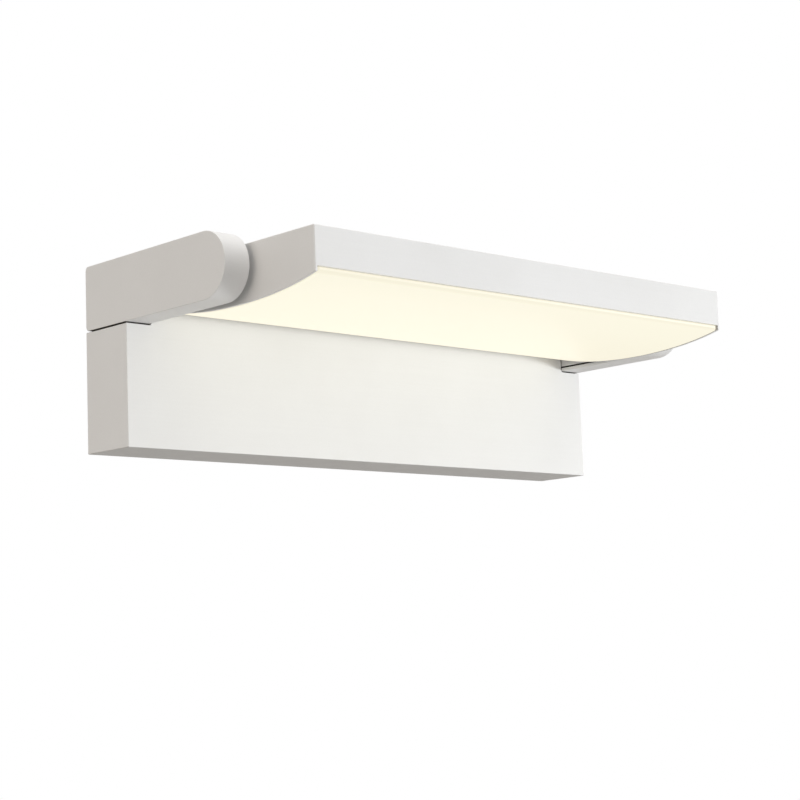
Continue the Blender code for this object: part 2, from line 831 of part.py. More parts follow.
def stop_slot():
    """Half-round slot that the stop pin runs in, seen from the side."""
    half = stop_radius + seat_gap
    points = []
    for turn, reach in ((1, stop_place + half), (-1, stop_place - half)):
        end = turn * stop_turn
        for k in range(slot_steps + 1):
            angle = end * (2 * k / slot_steps - 1)
            points.append((pivot_y + reach * math.cos(angle), pivot_z + reach * math.sin(angle)))
        centre_y = pivot_y + stop_place * math.cos(end)
        centre_z = pivot_z + stop_place * math.sin(end)
        for k in range(1, corner_steps + 1):
            angle = end + math.pi * (1 - turn) / 2 + math.pi * k / (corner_steps + 1)
            points.append((centre_y + half * math.cos(angle), centre_z + half * math.sin(angle)))
    return points


def add_arm_cover(side, name, material, with_lead):
    """Flat plate let into the arm's open side, bored for the bush, the stop pin and the screws."""
    face = side * arm_inner
    plate = prism(arm_outline(arm_rim + cover_gap), "X", face, side * cover_inner)
    cover = add_piece(name, plate, material)
    out = (side, 0, 0)
    holes = [drilled(arm_screw[0] + seat_gap, (face, y, z), out, cover_thickness)
             for _, y, z in arm_screw_spots(side)]
    start = (side * (arm_inner - cut_overrun), pivot_y, pivot_z)
    holes.append(rod(bush_radius + seat_gap, start, out, cover_thickness + 2 * cut_overrun, round_steps))
    spot = (face, -cover_screw_place, pivot_z + cover_screw_rise)
    holes.append(flush_hole(cover_screw, spot, (-side, 0, 0), cover_thickness + cut_overrun))
    ends = (side * (arm_inner - cut_overrun), side * (cover_inner + cut_overrun))
    holes.append(prism(stop_slot(), "X", *ends))
    if with_lead:
        hole = lead_radius + cable_gap + grommet_wall + seat_gap
        holes.append(drilled(hole, (face, -lane_place, pivot_z), out, cover_thickness))
    cut(cover, holes, "holes")


def add_arm_screws(side, label, metal):
    """Two screws from inside the box into the arm, and one through the cover."""
    length = arm_ledge_face - notch_inside + arm_screw_bite
    for number, spot in enumerate(arm_screw_spots(side), 1):
        seat = Vector(spot) - Vector((side * seat_gap, 0, 0))
        add_screw(f"arm_screw_{label}_{number}", pan_screw(arm_screw, length), seat, (-side, 0, 0), metal)
    spot = (side * arm_inner, -cover_screw_place, pivot_z + cover_screw_rise)
    length = arm_ledge_face - arm_inner + cover_screw_bite
    add_screw(f"cover_screw_{label}", flush_screw(cover_screw, length), spot, (-side, 0, 0), metal)


def add_lead_grommet(material):
    """Rubber sleeve through the notch wall and the left arm's cover."""
    bore = lead_radius + cable_gap
    barrel = bore + grommet_wall
    face = notch_inside - seat_gap
    profile = [(bore, face - grommet_flange_height), (barrel + grommet_flange, face - grommet_flange_height),
               (barrel + grommet_flange, face), (barrel, face), (barrel, cover_inner), (bore, cover_inner)]
    bm = turned(profile, (0, -lane_place, pivot_z), (-1, 0, 0), screw_steps, hollow=True)
    add_piece("lead_grommet", bm, material)


def quarter_turn(corner, first, second):
    """Start, middle and end of a bend of lead_turn that rounds a corner between two directions."""
    corner, first, second = Vector(corner), Vector(first), Vector(second)
    centre = corner - lead_turn * first + lead_turn * second
    middle = centre + lead_turn * bend_share * (first - second)
    return [corner - lead_turn * first, middle, corner + lead_turn * second]


def add_driver_lead(material):
    """Lead from the driver, through the grommet and along the arm, into the hollow pivot."""
    port = Vector(lead_port())
    mouth = Vector((lead_straight - notch_inside + grommet_flange_height, -lane_place, pivot_z))
    out = Vector((-1, 0, 0))
    forward = Vector((0, -1, 0))
    first = quarter_turn((-lead_lane, -lane_place, pivot_z), out, forward)
    last = quarter_turn((-lead_lane, pivot_y, pivot_z), forward, -out)
    end = Vector((-lead_meeting - seat_gap / 2, pivot_y, pivot_z))
    start = port - out * (driver_port_depth - seat_gap)
    route = [start, port, port + out * lead_straight, (port + mouth) / 2, mouth,
             mouth + out * lead_straight, *first, first[-1] + forward * lead_straight,
             last[0] - forward * lead_straight, *last, end]
    add_lead("driver_lead", route, lead_radius, material)


def add_bush(side, name, material):
    """Flanged bush in the cover, which the pivot turns in."""
    flange = bush_radius + bush_flange_width
    profile = [(bush_bore, arm_inner), (bush_radius, arm_inner), (bush_radius, cover_inner + seat_gap),
               (flange, cover_inner + seat_gap), (flange, bush_top), (bush_bore, bush_top)]
    add_piece(name, turned(profile, (0, pivot_y, pivot_z), (side, 0, 0), hollow=True), material)


def add_pivot_set(side, label, metal, plastic, head, hollow):
    """Pivot, spacer, disc spring, nut and stop pin, which all turn with the head."""
    out = (side, 0, 0)
    middle = (0, 0, 0)
    foot = hub_inside - seat_gap - pivot_flange_height
    face = hub_inside - seat_gap
    profile = [(pivot_flange, foot, HEX), (pivot_flange, face, HEX), (pivot_radius, face),
               (pivot_radius, pivot_end)]
    if hollow:
        profile = [(pivot_bore, foot), *profile, (pivot_bore, pivot_end)]
    add_piece(f"pivot_{label}", turned(profile, middle, out, hollow=hollow), metal, head)
    bore = pivot_radius + seat_gap
    low = head_half + seat_gap
    high = arm_inner - seat_gap
    rim = spring_foot + spring_cone
    rings = {
        "spacer": ([(bore, low), (spacer_radius, low), (spacer_radius, high), (bore, high)], plastic),
        "disc_spring": ([(bore, spring_foot), (spring_radius, rim), (spring_radius, rim + spring_sheet),
                         (bore, spring_foot + spring_sheet)], metal),
        "pivot_nut": ([(bore, nut_foot), (nut_half_across, nut_foot, HEX), (nut_half_across, nut_top, HEX),
                       (bore, nut_top)], metal),
    }
    for name, (ring, material) in rings.items():
        add_piece(f"{name}_{label}", turned(ring, middle, out, hollow=True), material, head)
    start = (side * (head_half - stop_depth), stop_place, 0)
    pin = rod(stop_radius, start, out, arm_inner + stop_reach - head_half + stop_depth)
    add_piece(f"stop_pin_{label}", pin, metal, head)


def add_head_housing(material, head):
    """Cast head: flat roof, walls bowed along their lower edges, hubs for the pivots."""
    outline = bowed(head_half_depth) + [(head_half_depth, head_rise), (-head_half_depth, head_rise)]
    bm = prism(outline, "X", -head_half, head_half)
    ends = (head_half, head_half_depth)
    at_corner = lambda spot: near(abs(spot.x), ends[0]) and near(abs(spot.y), ends[1])
    round_edges(bm, head_corner, 4, at_corner, "Z")
    round_edges(bm, head_top_edge, 2, lambda spot: near(spot.z, head_rise))
    housing = add_piece("head_housing", bm, material, head)
    inside = rectangle(2 * head_inside, 2 * (head_half_depth - head_wall), pocket_corner)
    cut(housing, [prism(inside, "Z", ledge_level - cut_overrun, roof_inside)], "cavity")
    below = -head_drop - head_bulge - cut_overrun
    opening = rectangle(2 * (head_half - head_rim), 2 * (head_half_depth + cut_overrun))
    cut(housing, [prism(opening, "Z", below, ledge_level)], "opening")
    hubs = []
    holes = []
    for side in (-1, 1):
        out = (side, 0, 0)
        length = hub_depth + join_depth
        hubs.append(rod(hub_radius, (side * hub_inside, 0, 0), out, length, round_steps))
        bore = pivot_radius + seat_gap
        start = (side * (hub_inside - cut_overrun), 0, 0)
        holes.append(rod(bore, start, out, head_half - hub_inside + 2 * cut_overrun, round_steps))
        spot = (side * head_half, stop_place, 0)
        holes.append(bored(stop_radius + seat_gap, spot, (-side, 0, 0), stop_depth + seat_gap))
    for x, y in board_screw_spots():
        face = (x, y, roof_inside)
        holes.append(bored(board_screw[0] + seat_gap, face, (0, 0, 1), head_roof - pilot_skin))
    join(housing, hubs, "hubs")
    cut(housing, holes, "holes")


def add_diffuser(material, head):
    """Moulded opal panel with a bowed face, a lip under the long walls and a groove for its seal."""
    half = head_half_depth - seat_gap
    lip = half - diffuser_lip_width
    face = bowed(half)
    corners = [(*face[0], diffuser_lip_radius), *[(*spot, 0) for spot in face[1:-1]]]
    corners += [(*face[-1], diffuser_lip_radius), (half, lip_top, 0), (lip, lip_top, 0),
                (lip, diffuser_top, 0), (-lip, diffuser_top, 0), (-lip, lip_top, 0), (-half, lip_top, 0)]
    ends = diffuser_half + cut_overrun
    diffuser = add_piece("diffuser", prism(rounded(corners), "X", -ends, ends), material, head)
    plan = rectangle(2 * diffuser_half, 2 * head_half_depth, diffuser_corner)
    below = -head_drop - head_bulge - cut_overrun
    combine(diffuser, [prism(plan, "Z", below, head_rise)], "INTERSECT", "corners")
    hollow = bowed(half - diffuser_flange, diffuser_wall)
    hollow += [(hollow[-1][0], head_rise), (hollow[0][0], head_rise)]
    reach = diffuser_half - diffuser_end_flange
    cut(diffuser, [prism(hollow, "X", -reach, reach)], "hollow")


def add_diffuser_seal(material, head):
    """Flat rubber ring between the head's ledge and the diffuser."""
    high = ledge_level - seat_gap
    low = high - seal_thickness
    outline = rectangle(2 * diffuser_half, 2 * seal_half_depth, diffuser_corner)
    ring = add_piece("diffuser_seal", prism(outline, "Z", low, high), material, head)
    inner = (2 * (diffuser_half - seal_width), 2 * (seal_half_depth - seal_width))
    opening = prism(rectangle(*inner, diffuser_corner), "Z", low - cut_overrun, high + cut_overrun)
    cut(ring, [opening], "opening")


def board_screw_spots():
    return [(side * board_screw_place, turn * led_pitch_across / 2) for side in (-1, 1) for turn in (-1, 1)]


def add_led_board(material, head):
    """Metal-core board with its rows of LEDs facing down."""
    plan = rectangle(2 * board_half, 2 * board_half_depth, board_corner)
    board = add_piece("led_board", prism(plan, "Z", board_under, board_top), material, head)
    lights = []
    for row in range(led_rows):
        for column in range(led_columns):
            across = led_pitch_along * (column - (led_columns - 1) / 2)
            chip = rectangle(led_size, led_size, 0, (across, led_pitch_across * (row - (led_rows - 1) / 2)))
            lights.append(prism(chip, "Z", board_under - led_height, board_under + join_depth))
    join(board, lights, "leds")
    holes = [drilled(board_screw[0] + seat_gap, (x, y, board_under), (0, 0, 1), board_thickness)
             for x, y in board_screw_spots()]
    cut(board, holes, "holes")


def add_light_engine(pad, board, plastic, metal, reflector, head):
    """What fills the head: pad, LED board, screws, connector and reflector."""
    plan = rectangle(2 * board_half, 2 * board_half_depth, board_corner)
    sheet = add_piece("thermal_pad", prism(plan, "Z", pad_top - pad_thickness, pad_top), pad, head)
    cut(sheet, [drilled(board_screw[0] + seat_gap, (x, y, pad_top - pad_thickness), (0, 0, 1), pad_thickness)
                for x, y in board_screw_spots()], "holes")
    add_led_board(board, head)
    length = roof_inside + head_roof - pilot_skin - board_under
    for number, (x, y) in enumerate(board_screw_spots(), 1):
        seat = (x, y, board_under - seat_gap)
        add_screw(f"board_screw_{number}", pan_screw(board_screw, length), seat, (0, 0, -1), metal, head)
    top = board_under - seat_gap
    plan = rectangle(connector_length, connector_width, 0, (-connector_place, 0))
    bm = prism(plan, "Z", top - connector_height, top)
    round_edges(bm, connector_edge, 1, lambda spot: near(spot.z, top - connector_height))
    connector = add_piece("board_connector", bm, plastic, head)
    cut(connector, [bored(lead_radius + seat_gap, connector_mouth(), (1, 0, 0), connector_socket)], "socket")
    add_reflector(reflector, head)


def connector_mouth():
    """Where the lead enters the board's connector."""
    return -connector_place - connector_length / 2, 0, board_under - seat_gap - connector_height / 2


def add_reflector(material, head):
    """White funnel from the LED board down to the diffuser, notched for the lead."""
    top = board_under - seat_gap
    foot = diffuser_top + seat_gap
    narrow = (board_half - reflector_inset, board_half_depth - reflector_inset)
    wide = (hub_inside - seat_gap - pivot_flange_height - reflector_end_gap,
            seal_half_depth - seal_width - reflector_seal_gap)
    rings = []
    for (reach, spread), wall, level in ((narrow, 0, top), (wide, 0, foot), (wide, reflector_wall, foot),
                                         (narrow, reflector_wall, top)):
        plan = rectangle(2 * (reach - wall), 2 * (spread - wall), reflector_corner)
        rings.append(lifted(plan, "Z", level))
    reflector = add_piece("reflector", loft(rings, hollow=True), material, head)
    low = connector_mouth()[2] - reflector_slot / 2
    start = narrow[0] - 2 * reflector_wall
    end = wide[0] + reflector_wall
    slot = rectangle(end - start, reflector_slot, 0, (-(start + end) / 2, 0))
    cut(reflector, [prism(slot, "Z", low, top + cut_overrun)], "slot")


def add_board_lead(material, head):
    """Lead from the hollow pivot to the board's connector."""
    mouth = Vector(connector_mouth())
    back = Vector((-1, 0, 0))
    pivot_mouth = Vector((pivot_flange_height - hub_inside + lead_straight / 2, 0, 0))
    route = [Vector((seat_gap / 2 - lead_meeting, 0, 0)), pivot_mouth, mouth + back * lead_straight, mouth,
             mouth - back * (connector_socket - seat_gap)]
    add_lead("board_lead", route, lead_radius, material, head)


def add_box_screws(material):
    """Two countersunk screws down through the box into the plate's ears."""
    length = box_top - ear_top + plate_sheet + screw_stand
    for side, label in ((-1, "left"), (1, "right")):
        spot = (side * ear_place, -box_screw_place, box_top)
        add_screw(f"box_screw_{label}", flush_screw(box_screw, length), spot, (0, 0, 1), material)


def build():
    clear_scene()
    painted = paint("satin_painted_aluminium", (0.72, 0.71, 0.69), 0.42, paint_metal_share)
    zinc = paint("zinc_plated_steel", (0.60, 0.61, 0.60), 0.38, 1.0)
    stainless = paint("stainless_steel", (0.66, 0.65, 0.63), 0.30, 1.0)
    brass = paint("brass", (0.72, 0.55, 0.28), 0.32, 1.0)
    opal = paint("opal_panel", (1.0, 0.97, 0.87), 0.35)
    white = paint("white_moulding", (0.90, 0.90, 0.88), 0.45)
    solder = paint("white_solder_mask", (0.88, 0.89, 0.88), 0.40)
    grey_rubber = paint("grey_silicone", (0.45, 0.45, 0.44), 0.70)
    black_rubber = paint("black_rubber", (0.05, 0.05, 0.05), 0.75)
    nylon = paint("black_nylon", (0.07, 0.07, 0.07), 0.50)
    case = paint("driver_case", (0.80, 0.80, 0.78), 0.50)
    live = paint("brown_core", (0.24, 0.11, 0.05), 0.50)
    neutral = paint("blue_core", (0.05, 0.16, 0.45), 0.50)
    earth = paint("green_core", (0.12, 0.40, 0.10), 0.50)
    sheath = paint("white_sheath", (0.85, 0.85, 0.83), 0.50)

    add_base_housing(painted)
    add_wall_plate(zinc)
    add_wall_seal(black_rubber)
    add_cable_grommet(black_rubber)
    add_box_screws(stainless)
    add_driver(case, zinc)
    add_terminal_block(white, brass, zinc)
    tag_mouth = add_earth(brass)
    add_mains_leads(live, neutral, earth, tag_mouth)
    add_lead_grommet(black_rubber)
    add_driver_lead(sheath)

    head = add_axis("head_axis", (0, pivot_y, pivot_z))
    for side, label in ((-1, "left"), (1, "right")):
        lead_side = side < 0
        add_arm(side, f"arm_{label}", painted)
        add_arm_cover(side, f"arm_cover_{label}", painted, lead_side)
        add_arm_screws(side, label, stainless)
        add_bush(side, f"bush_{label}", nylon)
        add_pivot_set(side, label, stainless, nylon, head, lead_side)

    add_head_housing(painted, head)
    add_diffuser(opal, head)
    add_diffuser_seal(grey_rubber, head)
    add_light_engine(grey_rubber, solder, white, stainless, white, head)
    add_board_lead(sheath, head)


build()
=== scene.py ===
# %% [markdown]
# Outdoor wall light: a painted aluminium box on the wall, two arms, and a lit head that tilts between
# them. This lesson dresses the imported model. The frame below gives every piece its place in metres: X
# runs along the wall, Y runs into the wall and Z runs up, from the middle of the wall plate's back.
# Nothing in the frame moves. New pieces are modelled around it, and each one rides on the body that
# carries it.

# %% Load the frame
import json
import math

import bmesh
import bpy
from mathutils import Matrix, Quaternion, Vector


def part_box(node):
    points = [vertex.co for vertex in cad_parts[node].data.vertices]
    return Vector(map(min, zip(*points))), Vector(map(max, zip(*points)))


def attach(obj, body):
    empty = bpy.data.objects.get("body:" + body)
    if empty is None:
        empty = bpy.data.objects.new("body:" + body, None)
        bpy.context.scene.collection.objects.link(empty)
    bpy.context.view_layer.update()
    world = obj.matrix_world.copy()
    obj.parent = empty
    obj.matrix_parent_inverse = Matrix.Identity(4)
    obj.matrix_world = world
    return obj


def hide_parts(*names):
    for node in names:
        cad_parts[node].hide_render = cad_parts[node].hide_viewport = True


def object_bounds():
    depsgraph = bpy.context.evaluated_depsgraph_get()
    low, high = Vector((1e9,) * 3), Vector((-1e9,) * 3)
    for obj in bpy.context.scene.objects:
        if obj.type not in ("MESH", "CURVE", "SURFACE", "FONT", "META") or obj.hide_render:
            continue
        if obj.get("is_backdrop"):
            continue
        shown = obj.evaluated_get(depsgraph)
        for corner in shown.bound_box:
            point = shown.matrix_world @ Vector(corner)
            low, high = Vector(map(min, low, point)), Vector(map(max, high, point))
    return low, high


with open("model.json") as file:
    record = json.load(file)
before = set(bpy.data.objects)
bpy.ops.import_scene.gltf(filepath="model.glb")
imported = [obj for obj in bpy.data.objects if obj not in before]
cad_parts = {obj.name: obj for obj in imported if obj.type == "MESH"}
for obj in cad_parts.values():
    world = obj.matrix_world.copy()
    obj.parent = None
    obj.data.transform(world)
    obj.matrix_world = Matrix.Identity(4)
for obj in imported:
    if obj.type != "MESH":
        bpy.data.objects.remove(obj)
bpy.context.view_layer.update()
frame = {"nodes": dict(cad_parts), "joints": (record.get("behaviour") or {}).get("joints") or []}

MM = 0.001
WALL = "wall_body"
HEAD = "head"
pivot = Vector(frame["joints"][0]["pos_m"])


def in_mm(values):
    return [round(value / MM, 2) for value in values]


print("pivot", in_mm(pivot))

# %% [markdown]
# The camera comes first, because everything else is judged through it. The picture looks up at the light
# from below its left end, with a long lens, so the lines of the box hardly run together. A long lens far
# away keeps the proportions honest, where a wide lens close by would swell the near arm.

# %% Camera
camera_data = bpy.data.cameras.new("photo_camera")
camera_data.lens = 89.1705
camera_data.sensor_width = 36.0
camera_data.clip_start = 0.01
camera_data.clip_end = 60.0
camera = bpy.data.objects.new("photo_camera", camera_data)
camera.location = (-0.56799, -0.648998, -0.129014)
camera.rotation_mode = "QUATERNION"
camera.rotation_quaternion = Quaternion((0.605677, 0.706983, -0.264079, -0.252175))
bpy.context.scene.collection.objects.link(camera)
bpy.context.scene.camera = camera
bpy.context.scene.view_settings.view_transform = "Standard"
print("camera is", round((camera.location - pivot).length, 3), "m from the pivot")

# %% [markdown]
# A material is a small sum of nodes, and sums are easier to read as sums. Signal wraps one output socket,
# so that `1 - mask` or `grain * 0.3` adds the Math node for it. Sheet wraps a node tree and adds any
# other node by its type, its settings and its sockets. Colours go through Mix nodes, because a Math node
# would turn them grey.

# %% Signal and Sheet
class Signal:
    """One output socket, usable in Python sums of single numbers."""

    def __init__(self, sheet, socket):
        self.sheet = sheet
        self.socket = socket

    def sum(self, operation, first, second):
        return self.sheet.sum(operation, first, second)

    def __add__(self, other):
        return self.sum("ADD", self, other)

    def __radd__(self, other):
        return self.sum("ADD", other, self)

    def __sub__(self, other):
        return self.sum("SUBTRACT", self, other)

    def __rsub__(self, other):
        return self.sum("SUBTRACT", other, self)

    def __mul__(self, other):
        return self.sum("MULTIPLY", self, other)

    def __rmul__(self, other):
        return self.sum("MULTIPLY", other, self)

    def __gt__(self, other):
        return self.sum("GREATER_THAN", self, other)

    def __lt__(self, other):
        return self.sum("LESS_THAN", self, other)

    def __abs__(self):
        return self.sum("ABSOLUTE", self, 0.0)


class Sheet:
    """A node tree that is written top to bottom."""

    def __init__(self, tree):
        self.tree = tree
        tree.nodes.clear()

    def add(self, kind, settings=None, sockets=None, out=0):
        """Any node: its settings are set first, then the values or links of its sockets."""
        node = self.tree.nodes.new(kind)
        for name, value in (settings or {}).items():
            setattr(node, name, value)
        for name, value in (sockets or {}).items():
            if isinstance(value, Signal):
                self.tree.links.new(value.socket, node.inputs[name])
            else:
                node.inputs[name].default_value = value
        return Signal(self, node.outputs[out]) if len(node.outputs) else None

    def sum(self, operation, first, second):
        """A Math node."""
        return self.add("ShaderNodeMath", {"operation": operation}, {0: first, 1: second})

    def place(self, stretch=(1, 1, 1)):
        """Object coordinates in millimetres, stretched along X, Y and Z."""
        spot = self.add("ShaderNodeTexCoord", out="Object")
        scale = tuple(share / MM for share in stretch)
        return self.add("ShaderNodeMapping", None, {"Vector": spot, "Scale": scale})

    def axis(self, spot, name):
        """One coordinate of a place."""
        return self.add("ShaderNodeSeparateXYZ", None, {0: spot}, out=name)

    def noise(self, spot, size, detail=2.0, roughness=0.5):
        """Soft noise with lumps of a size in millimetres, from 0 to 1."""
        sockets = {"Vector": spot, "Scale": 1 / size, "Detail": detail, "Roughness": roughness}
        return self.add("ShaderNodeTexNoise", None, sockets)

    def ramp(self, signal, low=0.3, high=0.7):
        """Stretch a signal so that low becomes 0 and high becomes 1; most noise lies between 0.3 and 0.7."""
        return self.add("ShaderNodeMapRange", None, {"Value": signal, "From Min": low, "From Max": high})

    def mix(self, share, first, second):
        """A colour between two colours."""
        sockets = {0: share, 6: first, 7: second}
        return self.add("ShaderNodeMix", {"data_type": "RGBA"}, sockets, out=2)

    def bump(self, height, depth):
        """A normal from a height signal; depth is its full travel in millimetres."""
        sockets = {"Height": height, "Distance": depth * MM, "Strength": 1.0}
        return self.add("ShaderNodeBump", None, sockets)

    def surface(self, sockets):
        """A Principled shader on the sheet's output."""
        shader = self.add("ShaderNodeBsdfPrincipled", None, sockets)
        self.add("ShaderNodeOutputMaterial", None, {"Surface": shader})


def new_sheet(name):
    """A fresh material and the sheet that its nodes are written on."""
    material = bpy.data.materials.new(name)
    material.use_nodes = True
    return material, Sheet(material.node_tree)


def grey(level, warmth=0.0):
    """A grey that leans to yellow by a little warmth."""
    return (level, level * (1 - 0.4 * warmth), level * (1 - warmth), 1.0)


print("Blender", bpy.app.version_string)

# %% [markdown]
# The studio is plain: a dim even sky, a pale floor well below the light, and five soft lamps. The sky
# shows as white to the camera and in reflections only, so the backdrop is white without one lamp being
# turned up. The floor is brightest near the wall, where it throws light up under the arms and the box.

# %% Sky
def add_sky(fill):
    world = bpy.data.worlds.new("studio_sky")
    bpy.context.scene.world = world
    world.use_nodes = True
    sheet = Sheet(world.node_tree)
    seen = 0.0
    for kind in ("Camera", "Glossy", "Transmission"):
        seen = seen + sheet.add("ShaderNodeLightPath", out=f"Is {kind} Ray")
    dim = sheet.add("ShaderNodeBackground", None, {"Color": (1.0, 0.975, 0.945, 1.0), "Strength": fill})
    white = sheet.add("ShaderNodeBackground", None, {"Color": (1.0, 1.0, 1.0, 1.0), "Strength": 1.0})
    sky = sheet.add("ShaderNodeMixShader", None, {0: seen, 1: dim, 2: white})
    sheet.add("ShaderNodeOutputWorld", None, {"Surface": sky})
    print("sky fill", fill)


add_sky(0.495)

# %% Floor
floor_level = -0.50
floor_radius = 3.8
patch_middle = (0.0, 0.45, 0.0)
patch_core = 0.52
patch_end = 1.34


def add_floor():
    bpy.ops.object.select_all(action="DESELECT")
    bpy.ops.mesh.primitive_circle_add(vertices=96, radius=floor_radius, fill_type="NGON")
    floor = bpy.context.active_object
    floor.name = "studio_floor"
    floor.data.transform(Matrix.Translation((0, 0, floor_level)))
    material, sheet = new_sheet("studio_floor")
    spot = sheet.add("ShaderNodeTexCoord", out="Object")
    reach = sheet.add("ShaderNodeVectorMath", {"operation": "LENGTH"}, {0: spot}, out="Value")
    edge = sheet.ramp(reach, 0.35 * floor_radius, 0.9 * floor_radius)
    seen = sheet.add("ShaderNodeLightPath", out="Is Camera Ray")
    ends = {0: spot, 1: patch_middle}
    away = sheet.add("ShaderNodeVectorMath", {"operation": "DISTANCE"}, ends, out="Value")
    bounce = sheet.mix(sheet.ramp(away, patch_core, patch_end), grey(0.86, 0.04), grey(0.20, 0.04))
    card = sheet.add("ShaderNodeBsdfDiffuse", None, {"Color": sheet.mix(seen, bounce, grey(0.9))})
    white = sheet.add("ShaderNodeEmission", None, {"Color": grey(1.0), "Strength": 1.0})
    share = seen * (0.6 + 0.4 * edge)
    blend = sheet.add("ShaderNodeMixShader", None, {0: share, 1: card, 2: white})
    sheet.add("ShaderNodeOutputMaterial", None, {"Surface": blend})
    floor.data.materials.append(material)
    floor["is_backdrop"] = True
    print("floor at", floor_level, "m")


add_floor()

# %% [markdown]
# A long, low and slightly cool lamp in front on the right makes the fronts nearly white, and a weaker one
# stands in front on the left. A lamp overhead lights the tops and the upper half of the noses. A warm
# lamp far on the left keeps the ends a warm light grey, and a faint one low down lifts what faces the
# floor.

# %% Lamps
COOL = (0.945, 0.975, 1.0)
WARM = (1.0, 0.885, 0.755)
WHITE = (1.0, 1.0, 1.0)


def add_lamp(name, place, size, power, colour):
    """A flat soft lamp of a width and a height in metres and a power in watts, that faces the pivot."""
    data = bpy.data.lights.new(name, "AREA")
    data.shape = "RECTANGLE"
    data.size, data.size_y = size
    data.energy = power
    data.color = colour
    lamp = bpy.data.objects.new(name, data)
    lamp.location = place
    lamp.rotation_mode = "QUATERNION"
    lamp.rotation_quaternion = (Vector(place) - pivot).to_track_quat("Z", "Y")
    bpy.context.scene.collection.objects.link(lamp)


add_lamp("right_front_lamp", (1.45, -1.40, -0.27), (1.4, 0.3), 22.2, COOL)
add_lamp("left_front_lamp", (-0.9, -2.0, -0.20), (1.2, 0.4), 4.7, COOL)
add_lamp("top_lamp", (0.2, -0.4, 1.9), (1.3, 1.3), 20.5, WHITE)
add_lamp("left_lamp", (-1.9, -0.3, 0.5), (1.2, 1.2), 7.6, WARM)
add_lamp("low_lamp", (0.45, -0.12, -0.42), (0.4, 0.4), 0.42, WHITE)

# %% [markdown]
# The paint is a satin light grey on cast aluminium. Sprayed paint is never quite flat: it has a fine
# orange peel, and its gloss changes a little from place to place. Two sizes of noise make the peel as a
# bump, and a broad one shifts colour and gloss by a few hundredths. The box's underside is painted darker,
# as painted shade. The faces that meet in a joint are painted a dark brown-grey, as painted shade in the
# narrow gaps: round the cover plates, between the arms and the box, and inside the head's two thin ends.
# A mask of plain sums finds them, from levels in millimetres.

# %% Where the painted gap shade goes
arm_inside = 118.3
joint_side = 117.8
seam_bottom = 121.3
seam_radius = 12.4
seam_rear = -1.4
box_front = -27.35
gap_low, gap_high = 10.8, 11.6
head_skin = 1.2
head_rear = -31.5
head_ledge = 17.9


def within(signal, low, high):
    """1 where a signal lies between two values."""
    return (signal > low) * (signal < high)


def painted_gap_shade(sheet, spot):
    """1 on the faces inside the joints of the arms, where painted shade darkens the gaps, in millimetres."""
    x, y, z = (sheet.axis(spot, name) for name in "XYZ")
    aside = abs(x)
    ahead = sheet.sum("MAXIMUM", pivot.y / MM - y, 0.0)
    rise = z - pivot.z / MM
    reach = sheet.sum("SQRT", ahead * ahead + rise * rise, 0.0)
    seam = within(aside, arm_inside + 0.12, seam_bottom) * (reach < seam_radius) * (y < seam_rear)
    behind_front = y > box_front
    upright = within(aside, joint_side - 0.1, arm_inside + 0.05) * behind_front * (z > gap_low)
    level = (aside > joint_side - 0.1) * behind_front * within(z, gap_low, gap_high)
    end_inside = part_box("head_housing")[1].x / MM - head_skin
    # Painted shade inside the head's thin ends, at 0.6 strength, for the dark gap beside the opal panel.
    ends = within(aside, end_inside - 0.1, end_inside + 0.04) * (y < head_rear) * (z < head_ledge)
    return 1 - (1 - seam) * (1 - upright) * (1 - level) * (1 - 0.6 * ends)


# %% Satin paint
underside = -37.5


def satin_paint(name):
    material, sheet = new_sheet(name)
    spot = sheet.place()
    broad = sheet.noise(spot, 38.0, 3.0)
    fine = sheet.noise(spot, 0.55, 2.0, 0.6)
    peel = sheet.noise(spot, 1.6, 1.0)
    brushed = sheet.noise(sheet.place((0.02, 1.0, 1.0)), 0.8, 2.0)
    shade = sheet.ramp(broad) * 0.6 + sheet.ramp(fine) * 0.25 + sheet.ramp(brushed) * 0.15
    colour = sheet.mix(shade, (0.775, 0.77, 0.76, 1.0), (0.825, 0.822, 0.815, 1.0))
    # Painted shade: the box's underside is darkened, where less light falls on it.
    painted_underside_shade = sheet.ramp(sheet.axis(spot, "Z"), underside + 0.3, underside + 0.08)
    colour = sheet.mix(painted_underside_shade, colour, (0.57, 0.56, 0.545, 1.0))
    # Painted shade: the joint faces are darkened to a dark brown-grey, standing in for the shade in the
    # narrow gaps.
    colour = sheet.mix(painted_gap_shade(sheet, spot), colour, (0.13, 0.115, 0.10, 1.0))
    gloss = 0.42 + 0.10 * broad + 0.08 * fine
    normal = sheet.bump(fine * 0.5 + peel * 0.5, 0.02)
    sheet.surface({"Base Color": colour, "Roughness": gloss, "Normal": normal, "Metallic": 0.05})
    return material


paint = satin_paint("satin_paint")
print("made", paint.name)

# %% [markdown]
# Behind the opal panel the LEDs light it evenly, so it glows cream all over, a touch less towards the
# wall, its ends and its front edge. The panel is milky plastic with a faint satin grain. Its own colour
# is low, because most of what the eye sees is emission, which would add up with bright plastic to plain
# white.

# %% Opal panel
opal_half = 46.0
opal_side = 114.0


